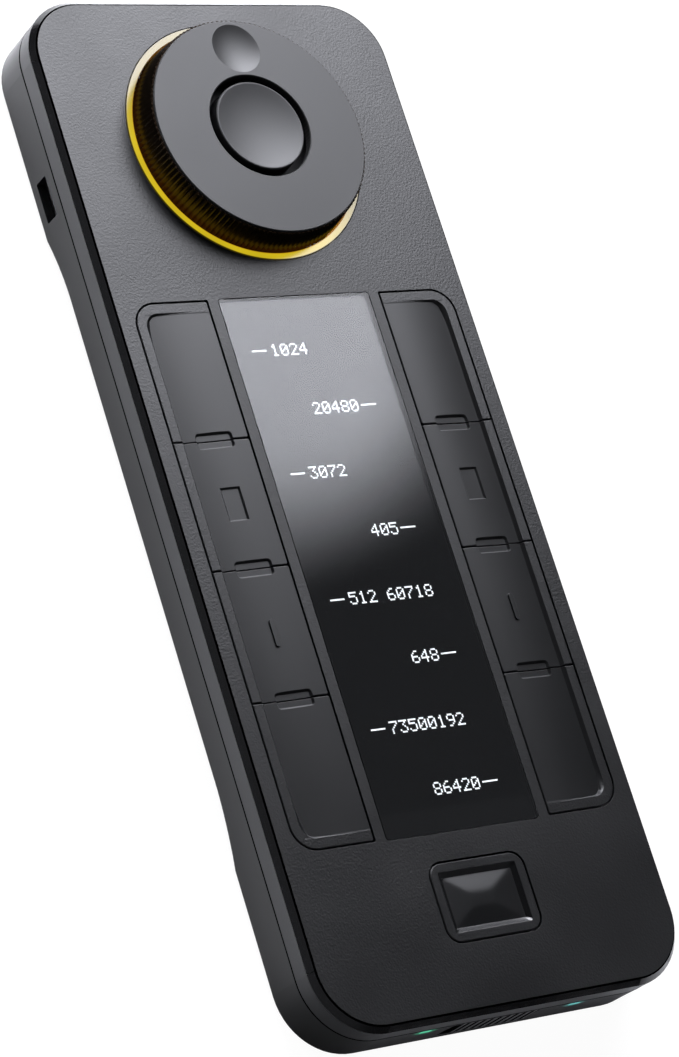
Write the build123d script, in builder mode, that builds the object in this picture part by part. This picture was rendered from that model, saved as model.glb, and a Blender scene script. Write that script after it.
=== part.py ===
from build123d import *
import math
import os

# Hand-sized keypad with a dial: a slim drafted housing, two columns of four keys beside a long
# display, one button below the display and a knurled dial with a light ring above it.
# The origin is the middle of the footprint on the surface the feet stand on.
# +X is across the keypad, +Y points along it towards the dial, +Z is up. Millimetres.

# ---------------------------------------------------------------- driving dimensions
# Housing
body_width = 62.02
body_length = 156.52
face_height = 12.0
foot_proud = 0.8
corner_radius = 9.71
side_draft = 1.0
seam_drop = 4.2
wall = 1.5
face_wall = 1.5
floor_wall = 1.4
underside_radius = 0.8
bevel_width = 0.85
bevel_drop = 1.08
trim_depth = 1.5
trim_foot = 0.3
trim_joint = 0.12
lip_height = 0.8
lip_thickness = 0.6
seat_clearance = 0.1
contact_gap = 0.02

# Raised middle of the underside, measured in from the two ends
scoop_depth = 1.5
scoop_low_margin = 27.66
scoop_high_margin = 33.46
scoop_low_run = 12.6
scoop_high_run = 10.8

# Feet
foot_side_margin = 9.01
foot_length = 13.0
foot_recess = 0.5
foot_corner = 3.0
foot_edge = 0.35
dial_foot_margin = 17.76
set_foot_margin = 13.76

# Screws that close the housing, and the posts they pass through
screw_side_margin = 7.01
screw_end_margin = 7.76
screw_above_keys = 6.28
screw_radius = 0.8
screw_head_radius = 1.5
screw_head_height = 0.9
screw_seat_height = 2.7
screw_tip_gap = 0.5
screw_slot = 0.35
post_radius = 2.6
boss_radius = 2.2

# Main board
board_drop = 5.2
board_thickness = 1.0
board_margin = 0.9

# Dial
dial_end_margin = 23.8
dial_height = 4.95
dial_cap_radius = 17.33
dial_cap_thickness = 1.4
dial_cap_lip = 0.3
dial_seat_radius = 16.6
dial_edge = 0.15
knurl_proud = 0.27
knurl_flare = 0.5
knurl_depth = 0.28
knurl_count = 136
knob_foot_sink = 0.7
knob_wall = 1.6
knob_web = 1.5
dimple_radius = 3.97
dimple_in = 4.58
dimple_depth = 0.58
running_clearance = 0.05
hub_wall = 1.75
post_wall = 1.55
post_shoulder = 1.4
post_shoulder_height = 2.95
dial_post_top_drop = 2.95
clip_height = 0.6
clip_proud = 1.0
clip_bite = 0.5
clip_mouth = 5.3
magnet_width = 1.55
magnet_height = 1.2
sensor_size = 3.0
sensor_height = 0.9

# Button in the middle of the dial
dial_button_radius = 7.2
dial_button_gap = 1.05
dial_button_dish = 0.73
dial_button_skin = 1.1
dial_button_edge = 0.15
dial_button_guide = 0.08
dial_button_flange = 0.75
dial_button_flange_height = 0.8
dial_button_wall = 1.2
dial_button_guide_length = 3.4

# Light ring around the dial
dial_to_ring = 0.15
ring_width = 1.05
ring_gap = 0.12
ring_proud = 0.05
ring_depth = 3.7
ring_flange = 1.4
ring_flange_height = 0.75
ring_led_count = 8
ring_led_size = 1.0
ring_led_height = 0.6

# Keys, measured between the middles of the gaps around them
key_row_count = 4
ring_to_keys = 5.94
keys_to_set = 4.31
key_side_margin = 3.44
glass_to_keys = 1.9
end_key_extra = 1.98
key_gap = 0.26
key_seam_gap = 0.2
key_outer_corner = 3.7
key_inner_corner = 0.3
key_edge = 0.1
key_skirt = 2.3
key_hollow = 1.1
key_wall = 1.1
key_flange = 0.5
key_flange_height = 0.7
key_press = 0.5

# Finger dish in the keys: it rolls off outwards and ends in a sloped wall
key_ledge = 1.62
dish_corner = 2.2
dish_start_in = 10.55
dish_depth = 0.6
dish_wall_angle = 38.0

# Marks that tell the keys apart by touch
mark_in = 7.07
notch_width = 6.0
notch_length = 2.5
notch_corner = 0.6
notch_depth = 0.42
notch_angle = 35.0
window_width = 3.2
window_length = 5.1
window_depth = 0.3
window_angle = 40.0
ridge_width = 0.8
ridge_length = 4.1
ridge_height = 0.22

# Button below the display
set_width = 16.1
set_length = 11.5
set_end_margin = 15.78
set_gap = 0.26
set_corner = 2.1
set_edge = 0.12
set_ledge_side = 1.45
set_ledge_end = 1.4
set_well_depth = 0.5
set_well_angle = 56.0
set_well_corner = 0.5
set_pad_height = 0.34
set_pad_ridge_width = 3.8
set_pad_ridge_length = 1.7
set_skirt = 2.3
set_flange = 0.6

# Switches under the buttons
switch_size = 4.2
switch_height = 1.2
plunger_radius = 1.0
plunger_bore_clearance = 0.08
plunger_height = 1.2
plunger_foot = 0.7
key_post_radius = 1.2

# Display
glass_width = 25.9
glass_above_keys = 0.08
glass_below_keys = 0.18
glass_thickness = 0.9
glass_corner = 0.5
glass_gap = 0.12
glass_ledge = 0.8
panel_thickness = 1.35
panel_margin = 0.25
panel_tail = 2.0
carrier_wall = 2.6
flex_width = 14.0
flex_thickness = 0.15
flex_connector_height = 1.1
flex_connector_depth = 2.4

# Charging socket in the -X wall, hung under the board
socket_end_margin = 28.36
socket_slot_length = 6.3
socket_slot_height = 2.85
socket_slot_corner = 0.25
socket_length = 7.4
socket_depth = 6.0
socket_shell_height = 2.9
socket_shell_corner = 0.7
socket_shell = 0.35
tongue_length = 4.4
tongue_height = 0.6
tongue_depth = 4.2

# Power slider and status lights in the -Y wall
slider_width = 12.6
slider_height = 4.0
slider_travel = 2.0
slider_drop = 2.6
slider_pocket_depth = 0.45
slider_play = 0.12
slider_slot_height = 1.1
slider_slot_drop = 1.0
slider_rib_count = 9
slider_rib_pitch = 1.37
slider_rib_depth = 0.35
slider_rib_width = 0.7
slider_rail_inset = 0.2
slider_keeper_height = 2.2
slider_keeper_thickness = 0.6
fork_depth = 1.6
fork_tine = 0.7
lever_width = 1.2
lever_height = 0.8
lever_lift = 0.2
power_switch_width = 8.6
power_switch_depth = 3.0
power_switch_height = 1.9
slider_to_light = 6.4
light_drop = 0.9
light_width = 2.0
light_height = 0.9
light_corner = 0.3
light_flange = 0.5
light_flange_thickness = 0.6
status_led_height = 0.7

# Battery
battery_post_gap = 1.4
battery_length = 27.5
battery_end_margin = 3.51
battery_board_gap = 0.65
battery_edge = 0.6
battery_tape = 0.15
lead_radius = 0.4
lead_spacing = 2.0
lead_length = 3.0
lead_connector_width = 5.0
lead_connector_length = 3.4

# Circuits on the main board
radio_width = 12.0
radio_length = 10.0
radio_height = 1.6
radio_corner = 0.8
chip_size = 7.0
chip_height = 0.9
circuit_side_margin = 14.51

# ---------------------------------------------------------------- levels and places
half_width = body_width / 2
half_length = body_length / 2
face_z = face_height
bevel_foot_z = face_z - bevel_drop
trim_z = face_z - trim_depth
seam_z = face_z - seam_drop
body_bottom_z = foot_proud
inner_top_z = face_z - face_wall
inner_floor_z = body_bottom_z + floor_wall
board_top_z = face_z - board_drop
board_bottom_z = board_top_z - board_thickness
draft_slope = math.tan(math.radians(side_draft))
dial_hole_radius = dial_button_radius + dial_button_gap
dial_y = half_length - dial_end_margin
knurl_top_radius = dial_cap_radius + knurl_proud
knurl_foot_radius = knurl_top_radius + knurl_flare
ring_inner_radius = knurl_foot_radius + dial_to_ring
ring_outer_radius = ring_inner_radius + ring_width
set_y = set_end_margin - half_length
key_column_top = dial_y - ring_outer_radius - ring_to_keys
key_column_bottom = set_y + set_length / 2 + keys_to_set
middle_key_length = (key_column_top - key_column_bottom - 2 * end_key_extra) / key_row_count
end_key_length = middle_key_length + end_key_extra
key_rows = (end_key_length, *[middle_key_length] * (key_row_count - 2), end_key_length)
key_inner_x = glass_width / 2 + glass_to_keys
key_outer_x = half_width - key_side_margin
key_middle_x = (key_inner_x + key_outer_x) / 2
mark_x = key_outer_x - mark_in
dish_start_x = key_outer_x - dish_start_in
dish_outer_x = key_outer_x - key_ledge
dish_radius = (dish_outer_x - dish_start_x) ** 2 / (2 * dish_depth) + dish_depth / 2
screw_x = half_width - screw_side_margin
screw_end_y = half_length - screw_end_margin
screw_rows = (screw_end_y, key_column_top + screw_above_keys, -screw_end_y)
screw_points = [(side * screw_x, y) for y in screw_rows for side in (-1, 1)]
screw_seat_z = body_bottom_z + screw_seat_height
screw_length = inner_top_z - screw_tip_gap - screw_seat_z
switch_top_z = board_top_z + switch_height
plunger_top_z = switch_top_z + plunger_foot


def skin_inset(z):
    """How far the drafted side wall has drawn in at height z."""
    return max(0.0, (bevel_foot_z - z) * draft_slope)


def outline(z, inset=0.0):
    """The housing's rounded outline at height z, drawn in by inset, in the sketch under way."""
    drawn_in = skin_inset(z) + inset
    RectangleRounded(body_width - 2 * drawn_in, body_length - 2 * drawn_in,
                     corner_radius - drawn_in)


def save(part, name):
    """Label a finished piece and write it."""
    part.label = name
    export_step(part, f"parts/{name}.step")


os.makedirs("parts", exist_ok=True)

# ---------------------------------------------------------------- trim around the face
with BuildPart() as trim_ring:
    with BuildSketch(Plane.XY.offset(trim_z)):
        outline(bevel_foot_z)
    extrude(amount=trim_depth)
    trim_top = trim_ring.faces().sort_by(Axis.Z)[-1]
    chamfer(trim_top.edges(), length=bevel_width, length2=bevel_drop, reference=trim_top)
    chamfer(trim_ring.faces().sort_by(Axis.Z)[0].edges(), length=trim_foot)
    with BuildSketch(Plane.XY.offset(trim_z)):
        outline(bevel_foot_z, bevel_width)
    extrude(amount=trim_depth, mode=Mode.SUBTRACT)

# The trim is two bows round the ends and two straight rails, with a hairline joint between them.
with BuildPart() as edge_trim:
    add(trim_ring.part)
    joint_y = half_length - corner_radius
    with Locations((0, joint_y, trim_z), (0, -joint_y, trim_z)):
        Box(body_width, trim_joint, 3 * trim_depth, mode=Mode.SUBTRACT)
save(edge_trim.part, "edge_trim")


# ---------------------------------------------------------------- key shapes
def row_limits(row):
    """The low and high y of a key's row, between the middles of its seams."""
    high = key_column_top - sum(key_rows[:row])
    return high - key_rows[row], high


def key_limits(row):
    """The low and high y of a key itself, inside the gaps around it."""
    low, high = row_limits(row)
    low_gap = key_gap if row == key_row_count - 1 else key_seam_gap
    high_gap = key_gap if row == 0 else key_seam_gap
    return low + low_gap / 2, high - high_gap / 2


def key_outline(low, high, inner, outer, corner, upper_round, lower_round):
    """A key's outline between two heights of y, with its outer corners rounded where asked."""
    with BuildSketch(mode=Mode.PRIVATE) as shape:
        with Locations(((inner + outer) / 2, (low + high) / 2)):
            Rectangle(outer - inner, high - low)
        lower, upper = shape.vertices().group_by(Axis.X)[-1].sort_by(Axis.Y)
        rounded = [lower] * lower_round + [upper] * upper_round
        if rounded:
            fillet(rounded, corner)
        fillet(shape.vertices().group_by(Axis.X)[0], key_inner_corner)
    return shape.sketch


def column_outline(margin):
    """The outline of one whole key column, grown by margin past its keys' gaps."""
    return key_outline(key_column_bottom - margin, key_column_top + margin,
                       key_inner_x - margin, key_outer_x + margin,
                       key_outer_corner + margin, True, True)


# One long dish for the four keys of the +X column. Its floor is a cylinder that leaves the face
# tangent to it, and its ends and its outer side are sloped walls.
with BuildPart() as dish_tool:
    with BuildSketch(Plane.XY.offset(face_z)) as dish_plan:
        add(key_outline(key_column_bottom + key_ledge, key_column_top - key_ledge,
                        dish_start_x, dish_outer_x, dish_corner, True, True))
    extrude(amount=-2 * dish_depth, taper=dish_wall_angle)
    extrude(dish_plan.sketch.faces(), amount=dish_depth)
    with BuildSketch(Plane.XZ):
        with Locations((dish_start_x, face_z - dish_radius)):
            Circle(dish_radius)
    extrude(amount=body_length, both=True, mode=Mode.SUBTRACT)

# The touch marks lie on the plane that touches the dish's floor at mark_x.
mark_angle = math.asin((mark_x - dish_start_x) / dish_radius)
mark_z = face_z - dish_radius * (1 - math.cos(mark_angle))
mark_plane = Plane(origin=(mark_x, 0, mark_z), x_dir=(math.cos(mark_angle), 0, -math.sin(mark_angle)),
                   z_dir=(math.sin(mark_angle), 0, math.cos(mark_angle)))

# Recesses across the three seams of the +X column.
seam_ys = [row_limits(row)[0] for row in range(key_row_count - 1)]
with BuildPart() as notch_tool:
    with BuildSketch(mark_plane) as notch_plan:
        with Locations(*[(0, y) for y in seam_ys]):
            RectangleRounded(notch_width, notch_length, notch_corner)
    extrude(amount=-notch_depth, taper=notch_angle)
    extrude(notch_plan.sketch.faces(), amount=notch_depth)


def build_key(row, side):
    """One key: cap, keeper flange, hollow underside, post, dish and its touch marks."""
    low, high = key_limits(row)
    first = row == 0
    last = row == key_row_count - 1
    inner = key_inner_x + key_gap / 2
    outer = key_outer_x - key_gap / 2
    corner = key_outer_corner - key_gap / 2
    skirt_z = face_z - key_skirt
    with BuildPart() as key:
        with BuildSketch(Plane.XY.offset(skirt_z)):
            add(key_outline(low, high, inner, outer, corner, first, last))
        extrude(amount=key_skirt)
        chamfer(key.faces().sort_by(Axis.Z)[-1].edges(), length=key_edge)
        with BuildSketch(Plane.XY.offset(skirt_z)):
            add(key_outline(low - (key_flange if last else 0), high + (key_flange if first else 0),
                            inner - key_flange, outer + key_flange, corner, first, last))
        extrude(amount=key_flange_height)
        with BuildSketch(Plane.XY.offset(skirt_z)):
            add(key_outline(low + key_wall, high - key_wall, inner + key_wall, outer - key_wall,
                            corner - key_wall, first, last))
        extrude(amount=key_hollow, mode=Mode.SUBTRACT)
        with BuildSketch(Plane.XY.offset(plunger_top_z)):
            with Locations((key_middle_x, (low + high) / 2)):
                Circle(key_post_radius)
        extrude(amount=skirt_z + key_hollow - plunger_top_z)
        add(dish_tool.part, mode=Mode.SUBTRACT)
        add(notch_tool.part, mode=Mode.SUBTRACT)
        middle_y = sum(row_limits(row)) / 2
        if row == 1:
            with BuildSketch(mark_plane) as window:
                with Locations((0, middle_y)):
                    Rectangle(window_width, window_length)
            extrude(amount=-window_depth, taper=window_angle, mode=Mode.SUBTRACT)
            extrude(window.sketch.faces(), amount=window_depth, mode=Mode.SUBTRACT)
        if row == 2:
            with BuildSketch(mark_plane.offset(-ridge_height)):
                with Locations((0, middle_y)):
                    SlotOverall(ridge_length, ridge_width, rotation=90)
            extrude(amount=2 * ridge_height)
        if side < 0:
            mirror(about=Plane.YZ, mode=Mode.REPLACE)
    return key.part


def build_plunger(x, y):
    """The moving pin of one push switch, standing up to the button above it."""
    with BuildPart() as plunger:
        with BuildSketch(Plane.XY.offset(plunger_top_z - plunger_height)):
            with Locations((x, y)):
                Circle(plunger_radius)
        extrude(amount=plunger_height)
    return plunger.part


def build_switches(points):
    """Square push switch bodies on the board, each with the bore its plunger runs in."""
    with BuildPart() as switches:
        with BuildSketch(Plane.XY.offset(board_top_z)):
            with Locations(*points):
                Rectangle(switch_size, switch_size)
        extrude(amount=switch_height)
        bore_depth = plunger_height - plunger_foot + key_press + seat_clearance
        with BuildSketch(Plane.XY.offset(switch_top_z)):
            with Locations(*points):
                Circle(plunger_radius + plunger_bore_clearance)
        extrude(amount=-bore_depth, mode=Mode.SUBTRACT)
    return switches.part


key_switch_points = []
for side, side_name in ((-1, "left"), (1, "right")):
    for row in range(key_row_count):
        save(build_key(row, side), f"{side_name}_key_{row + 1}")
        point = (side * key_middle_x, sum(key_limits(row)) / 2)
        key_switch_points.append(point)
        save(build_plunger(*point), f"{side_name}_plunger_{row + 1}")
save(build_switches(key_switch_points), "key_switches")

# ---------------------------------------------------------------- button below the display
set_cap_width = set_width - set_gap
set_cap_length = set_length - set_gap
set_skirt_z = face_z - set_skirt
set_well_z = face_z - set_well_depth
set_well_width = set_width - 2 * set_ledge_side
set_well_length = set_length - 2 * set_ledge_end
set_well_draw = set_well_depth * math.tan(math.radians(set_well_angle))
set_floor_width = set_well_width - 2 * set_well_draw
set_floor_length = set_well_length - 2 * set_well_draw
with BuildPart() as set_button:
    with BuildSketch(Plane.XY.offset(set_skirt_z)):
        with Locations((0, set_y)):
            RectangleRounded(set_cap_width, set_cap_length, set_corner)
    extrude(amount=set_skirt)
    chamfer(set_button.faces().sort_by(Axis.Z)[-1].edges(), length=set_edge)
    with BuildSketch(Plane.XY.offset(set_skirt_z)):
        with Locations((0, set_y)):
            RectangleRounded(set_cap_width + 2 * set_flange, set_cap_length + 2 * set_flange,
                             set_corner)
    extrude(amount=key_flange_height)
    with BuildSketch(Plane.XY.offset(set_skirt_z)):
        with Locations((0, set_y)):
            Rectangle(set_cap_width - 2 * key_wall - set_corner,
                      set_cap_length - 2 * key_wall - set_corner)
    extrude(amount=key_hollow, mode=Mode.SUBTRACT)
    with BuildSketch(Plane.XY.offset(face_z)):
        with Locations((0, set_y)):
            RectangleRounded(set_well_width, set_well_length, set_well_corner)
    extrude(amount=-set_well_depth, taper=set_well_angle, mode=Mode.SUBTRACT)
    with BuildSketch(Plane.XY.offset(plunger_top_z)):
        with Locations((0, set_y)):
            Circle(key_post_radius)
    extrude(amount=set_skirt_z + key_hollow - plunger_top_z)
save(set_button.part, "set_button")

# A glossy hipped pad lies in the button's well.
with BuildPart() as set_pad:
    with BuildSketch(Plane.XY.offset(set_well_z)):
        with Locations((0, set_y)):
            Rectangle(set_floor_width - 2 * contact_gap, set_floor_length - 2 * contact_gap)
    with BuildSketch(Plane.XY.offset(set_well_z + set_pad_height)):
        with Locations((0, set_y)):
            Rectangle(set_pad_ridge_width, set_pad_ridge_length)
    loft()
save(set_pad.part, "set_pad")
save(build_plunger(0, set_y), "set_plunger")
save(build_switches([(0, set_y)]), "set_switch")

# ---------------------------------------------------------------- dial
dial_top_z = face_z + dial_height
dial_cap_z = dial_top_z - dial_cap_thickness
dial_lip_z = dial_top_z - dial_cap_lip
knob_foot_z = face_z - knob_foot_sink
dial_post_top_z = dial_top_z - dial_post_top_drop
shoulder_z = board_top_z + post_shoulder_height
clip_z = dial_post_top_z - 2 * clip_height + seat_clearance
hub_top_z = clip_z - running_clearance
dial_plane = Plane((0, dial_y, 0))
button_bore = dial_button_radius + dial_button_guide
flange_bore = dial_button_radius + dial_button_flange + seat_clearance
bearing_radius = flange_bore + post_wall
clip_radius = bearing_radius + clip_proud
hub_radius = bearing_radius + running_clearance + hub_wall
dimple_offset = dial_cap_radius - dimple_in

# The cap sits in the skirt, and its thin lip covers the roots of the skirt's teeth.
with BuildPart() as dial_cap:
    with BuildSketch(dial_plane.offset(dial_cap_z)):
        Circle(dial_seat_radius - contact_gap)
        Circle(dial_hole_radius, mode=Mode.SUBTRACT)
    extrude(amount=dial_cap_thickness)
    with BuildSketch(dial_plane.offset(dial_lip_z)):
        Circle(dial_cap_radius)
        Circle(dial_hole_radius, mode=Mode.SUBTRACT)
    extrude(amount=dial_cap_lip)
    chamfer(dial_cap.faces().sort_by(Axis.Z)[-1].edges(), length=dial_edge)
    dimple_ball = (dimple_radius ** 2 + dimple_depth ** 2) / (2 * dimple_depth)
    with Locations((0, dial_y + dimple_offset, dial_top_z + dimple_ball - dimple_depth)):
        Sphere(dimple_ball, mode=Mode.SUBTRACT)
save(dial_cap.part, "dial_cap")


def knurl_points(radius):
    """Corners of the knurled outline: a tip and a root for each tooth."""
    step = 2 * math.pi / knurl_count
    for tooth in range(knurl_count):
        yield (radius * math.cos(tooth * step), radius * math.sin(tooth * step))
        root = radius - knurl_depth
        yield (root * math.cos((tooth + 0.5) * step), root * math.sin((tooth + 0.5) * step))


with BuildPart() as dial_skirt:
    for level, radius in ((knob_foot_z, knurl_foot_radius), (dial_lip_z, knurl_top_radius)):
        with BuildSketch(dial_plane.offset(level)):
            with BuildLine():
                Polyline(*knurl_points(radius), close=True)
            make_face()
    loft(ruled=True)
    with BuildSketch(dial_plane.offset(dial_cap_z)):
        Circle(dial_seat_radius)
    extrude(amount=dial_lip_z - dial_cap_z, mode=Mode.SUBTRACT)
    with BuildSketch(dial_plane.offset(knob_foot_z)):
        Circle(knurl_foot_radius - knurl_depth - knob_wall)
    extrude(amount=dial_cap_z - knob_web - knob_foot_z, mode=Mode.SUBTRACT)
    hub_foot_z = shoulder_z + running_clearance
    with BuildSketch(dial_plane.offset(hub_foot_z)):
        Circle(hub_radius)
    extrude(amount=dial_cap_z - hub_foot_z)
    with BuildSketch(dial_plane.offset(hub_foot_z)):
        Circle(bearing_radius + running_clearance)
    extrude(amount=dial_cap_z - hub_foot_z, mode=Mode.SUBTRACT)
    with BuildSketch(dial_plane.offset(hub_top_z)):
        Circle(clip_radius + seat_clearance)
    extrude(amount=dial_cap_z - hub_top_z, mode=Mode.SUBTRACT)
save(dial_skirt.part, "dial_skirt")

# Fixed post: the dial turns on its outside, the middle button slides in its bore.
flange_stop_z = dial_post_top_z - dial_button_guide_length
with BuildPart() as dial_post:
    with BuildSketch(dial_plane.offset(board_top_z)):
        Circle(bearing_radius + post_shoulder)
    extrude(amount=post_shoulder_height)
    with BuildSketch(dial_plane.offset(board_top_z)):
        Circle(bearing_radius)
    extrude(amount=dial_post_top_z - board_top_z)
    with BuildSketch(dial_plane.offset(board_top_z)):
        Circle(button_bore)
    extrude(amount=dial_post_top_z - board_top_z, mode=Mode.SUBTRACT)
    with BuildSketch(dial_plane.offset(board_top_z)):
        Circle(flange_bore)
    extrude(amount=flange_stop_z - board_top_z, mode=Mode.SUBTRACT)
    with BuildSketch(dial_plane.offset(clip_z)):
        Circle(bearing_radius)
        Circle(bearing_radius - clip_bite, mode=Mode.SUBTRACT)
    extrude(amount=clip_height, mode=Mode.SUBTRACT)
save(dial_post.part, "dial_post")

# Spring clip in the post's groove keeps the dial from lifting off.
with BuildPart() as dial_clip:
    with BuildSketch(dial_plane.offset(clip_z)):
        Circle(clip_radius)
        Circle(bearing_radius - clip_bite + contact_gap, mode=Mode.SUBTRACT)
        with Locations((0, clip_radius)):
            Rectangle(clip_mouth, clip_radius, mode=Mode.SUBTRACT)
    extrude(amount=clip_height - contact_gap)
save(dial_clip.part, "dial_clip")

with BuildPart() as encoder_magnet:
    with BuildSketch(dial_plane.offset(hub_foot_z)):
        Circle(hub_radius + magnet_width)
        Circle(hub_radius, mode=Mode.SUBTRACT)
    extrude(amount=magnet_height)
save(encoder_magnet.part, "encoder_magnet")

with BuildPart() as encoder_sensor:
    with Locations((0, dial_y - hub_radius - sensor_size / 2 - seat_clearance, board_top_z)):
        Box(sensor_size, sensor_size, sensor_height, align=(Align.CENTER, Align.CENTER, Align.MIN))
save(encoder_sensor.part, "encoder_sensor")

# ---------------------------------------------------------------- button in the dial
button_foot_z = flange_stop_z - running_clearance - dial_button_flange_height
with BuildPart() as dial_button:
    with BuildSketch(dial_plane.offset(button_foot_z)):
        Circle(dial_button_radius)
    extrude(amount=dial_top_z - button_foot_z)
    chamfer(dial_button.faces().sort_by(Axis.Z)[-1].edges(), length=dial_button_edge)
    with BuildSketch(dial_plane.offset(button_foot_z)):
        Circle(dial_button_radius + dial_button_flange)
    extrude(amount=dial_button_flange_height)
    hollow_top_z = dial_top_z - dial_button_dish - dial_button_skin
    with BuildSketch(dial_plane.offset(button_foot_z)):
        Circle(dial_button_radius - dial_button_wall)
    extrude(amount=hollow_top_z - button_foot_z, mode=Mode.SUBTRACT)
    with BuildSketch(dial_plane.offset(plunger_top_z)):
        Circle(key_post_radius)
    extrude(amount=hollow_top_z - plunger_top_z)
    rim_radius = dial_button_radius - 2 * dial_button_edge
    button_ball = (rim_radius ** 2 + dial_button_dish ** 2) / (2 * dial_button_dish)
    with Locations((0, dial_y, dial_top_z + button_ball - dial_button_dish)):
        Sphere(button_ball, mode=Mode.SUBTRACT)
save(dial_button.part, "dial_button")
save(build_plunger(0, dial_y), "dial_button_plunger")
save(build_switches([(0, dial_y)]), "dial_button_switch")

# ---------------------------------------------------------------- light ring
ring_foot_z = face_z - ring_depth
with BuildPart() as light_ring:
    with BuildSketch(dial_plane.offset(ring_foot_z)):
        Circle(ring_outer_radius)
        Circle(ring_inner_radius, mode=Mode.SUBTRACT)
    extrude(amount=ring_depth + ring_proud)
    chamfer(light_ring.faces().sort_by(Axis.Z)[-1].edges(), length=ring_proud)
    with BuildSketch(dial_plane.offset(inner_top_z)):
        Circle(ring_outer_radius + ring_flange)
        Circle(ring_outer_radius, mode=Mode.SUBTRACT)
    extrude(amount=-ring_flange_height)
save(light_ring.part, "light_ring")

with BuildPart() as ring_leds:
    with BuildSketch(dial_plane.offset(board_top_z)):
        with PolarLocations(ring_outer_radius - ring_width / 2, ring_led_count,
                            start_angle=180 / ring_led_count):
            Rectangle(ring_led_size, ring_led_size)
    extrude(amount=ring_led_height)
save(ring_leds.part, "ring_leds")

# ---------------------------------------------------------------- display
glass_top_y = key_column_top + glass_above_keys
glass_bottom_y = key_column_bottom - glass_below_keys
glass_length = glass_top_y - glass_bottom_y
glass_y = (glass_top_y + glass_bottom_y) / 2
glass_z = face_z - glass_thickness
window_clear_width = glass_width - 2 * glass_ledge
window_clear_length = glass_length - 2 * glass_ledge
panel_width = window_clear_width - 2 * panel_margin
panel_length = window_clear_length - 2 * panel_margin
panel_z = glass_z - panel_thickness
with BuildPart() as display_glass:
    with BuildSketch(Plane.XY.offset(glass_z)):
        with Locations((0, glass_y)):
            RectangleRounded(glass_width, glass_length, glass_corner)
    extrude(amount=glass_thickness)
save(display_glass.part, "display_glass")

with BuildPart() as display_panel:
    with BuildSketch(Plane.XY.offset(panel_z)):
        with Locations((0, glass_y)):
            Rectangle(panel_width, panel_length)
    extrude(amount=panel_thickness)
save(display_panel.part, "display_panel")

with BuildPart() as display_carrier:
    with BuildSketch(Plane.XY.offset(board_top_z)):
        with Locations((0, glass_y)):
            Rectangle(panel_width, panel_length)
            Rectangle(panel_width - 2 * carrier_wall, panel_length - 2 * carrier_wall,
                      mode=Mode.SUBTRACT)
            Rectangle(carrier_wall, panel_length)
        with Locations((0, glass_y - panel_length / 2)):
            Rectangle(flex_width + 2 * seat_clearance, 2 * carrier_wall, mode=Mode.SUBTRACT)
    extrude(amount=panel_z - board_top_z)
save(display_carrier.part, "display_carrier")

# The flex leaves the panel's lower end, turns down and enters its connector on the board.
panel_low_y = glass_y - panel_length / 2
flex_turn_y = panel_low_y + panel_tail / 2
flex_end_y = panel_low_y - panel_tail
flex_z = board_top_z + flex_connector_height / 2
with BuildPart() as display_flex:
    with BuildSketch(Plane.YZ):
        with BuildLine():
            Polyline((panel_low_y + panel_tail, panel_z), (flex_turn_y, panel_z),
                     (flex_turn_y, flex_z + flex_thickness), (flex_end_y, flex_z + flex_thickness),
                     (flex_end_y, flex_z), (flex_turn_y + flex_thickness, flex_z),
                     (flex_turn_y + flex_thickness, panel_z - flex_thickness),
                     (panel_low_y + panel_tail, panel_z - flex_thickness), close=True)
        make_face()
    extrude(amount=flex_width / 2, both=True)
save(display_flex.part, "display_flex")

with BuildPart() as flex_connector:
    with BuildSketch(Plane.XY.offset(board_top_z)):
        with Locations((0, flex_end_y - flex_connector_depth / 2)):
            Rectangle(flex_width + 2 * seat_clearance, flex_connector_depth)
    extrude(amount=flex_connector_height)
save(flex_connector.part, "flex_connector")

# ---------------------------------------------------------------- top cover
well_radius = ring_outer_radius + ring_gap
set_opening = (set_width + set_gap, set_length + set_gap)
boss_foot_z = board_top_z + running_clearance
with BuildPart() as top_cover:
    with BuildSketch(Plane.XY.offset(bevel_foot_z)):
        outline(bevel_foot_z)
    extrude(amount=seam_z - bevel_foot_z, taper=side_draft)
    with BuildSketch(Plane.XY.offset(bevel_foot_z)):
        outline(bevel_foot_z, bevel_width)
    extrude(amount=bevel_drop)
    add(trim_ring.part, mode=Mode.SUBTRACT)
    with BuildSketch(Plane.XY.offset(seam_z)):
        outline(seam_z, wall)
    extrude(amount=inner_top_z - seam_z, mode=Mode.SUBTRACT)
    with BuildSketch(Plane.XY.offset(seam_z)):
        outline(seam_z, wall - lip_thickness - seat_clearance)
    extrude(amount=lip_height + seat_clearance, mode=Mode.SUBTRACT)
    # Openings through the face: dial well, key columns, button, display window.
    with BuildSketch(Plane.XY.offset(inner_top_z)):
        with Locations((0, dial_y)):
            Circle(well_radius)
        add(column_outline(key_gap / 2))
        mirror(column_outline(key_gap / 2), about=Plane.YZ)
        with Locations((0, set_y)):
            RectangleRounded(*set_opening, set_corner + set_gap)
        with Locations((0, glass_y)):
            Rectangle(window_clear_width, window_clear_length)
    extrude(amount=face_wall, mode=Mode.SUBTRACT)
    with BuildSketch(Plane.XY.offset(face_z)):
        with Locations((0, glass_y)):
            RectangleRounded(glass_width + 2 * glass_gap, glass_length + 2 * glass_gap,
                             glass_corner + glass_gap)
    extrude(amount=-glass_thickness, mode=Mode.SUBTRACT)
    # Bosses that the closing screws bite into.
    with BuildSketch(Plane.XY.offset(boss_foot_z)):
        with Locations(*screw_points):
            Circle(boss_radius)
    extrude(amount=inner_top_z - boss_foot_z)
    with BuildSketch(Plane.XY.offset(boss_foot_z)):
        with Locations(*screw_points):
            Circle(screw_radius + contact_gap)
    extrude(amount=screw_seat_z + screw_length + seat_clearance - boss_foot_z, mode=Mode.SUBTRACT)
save(top_cover.part, "top_cover")


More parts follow.
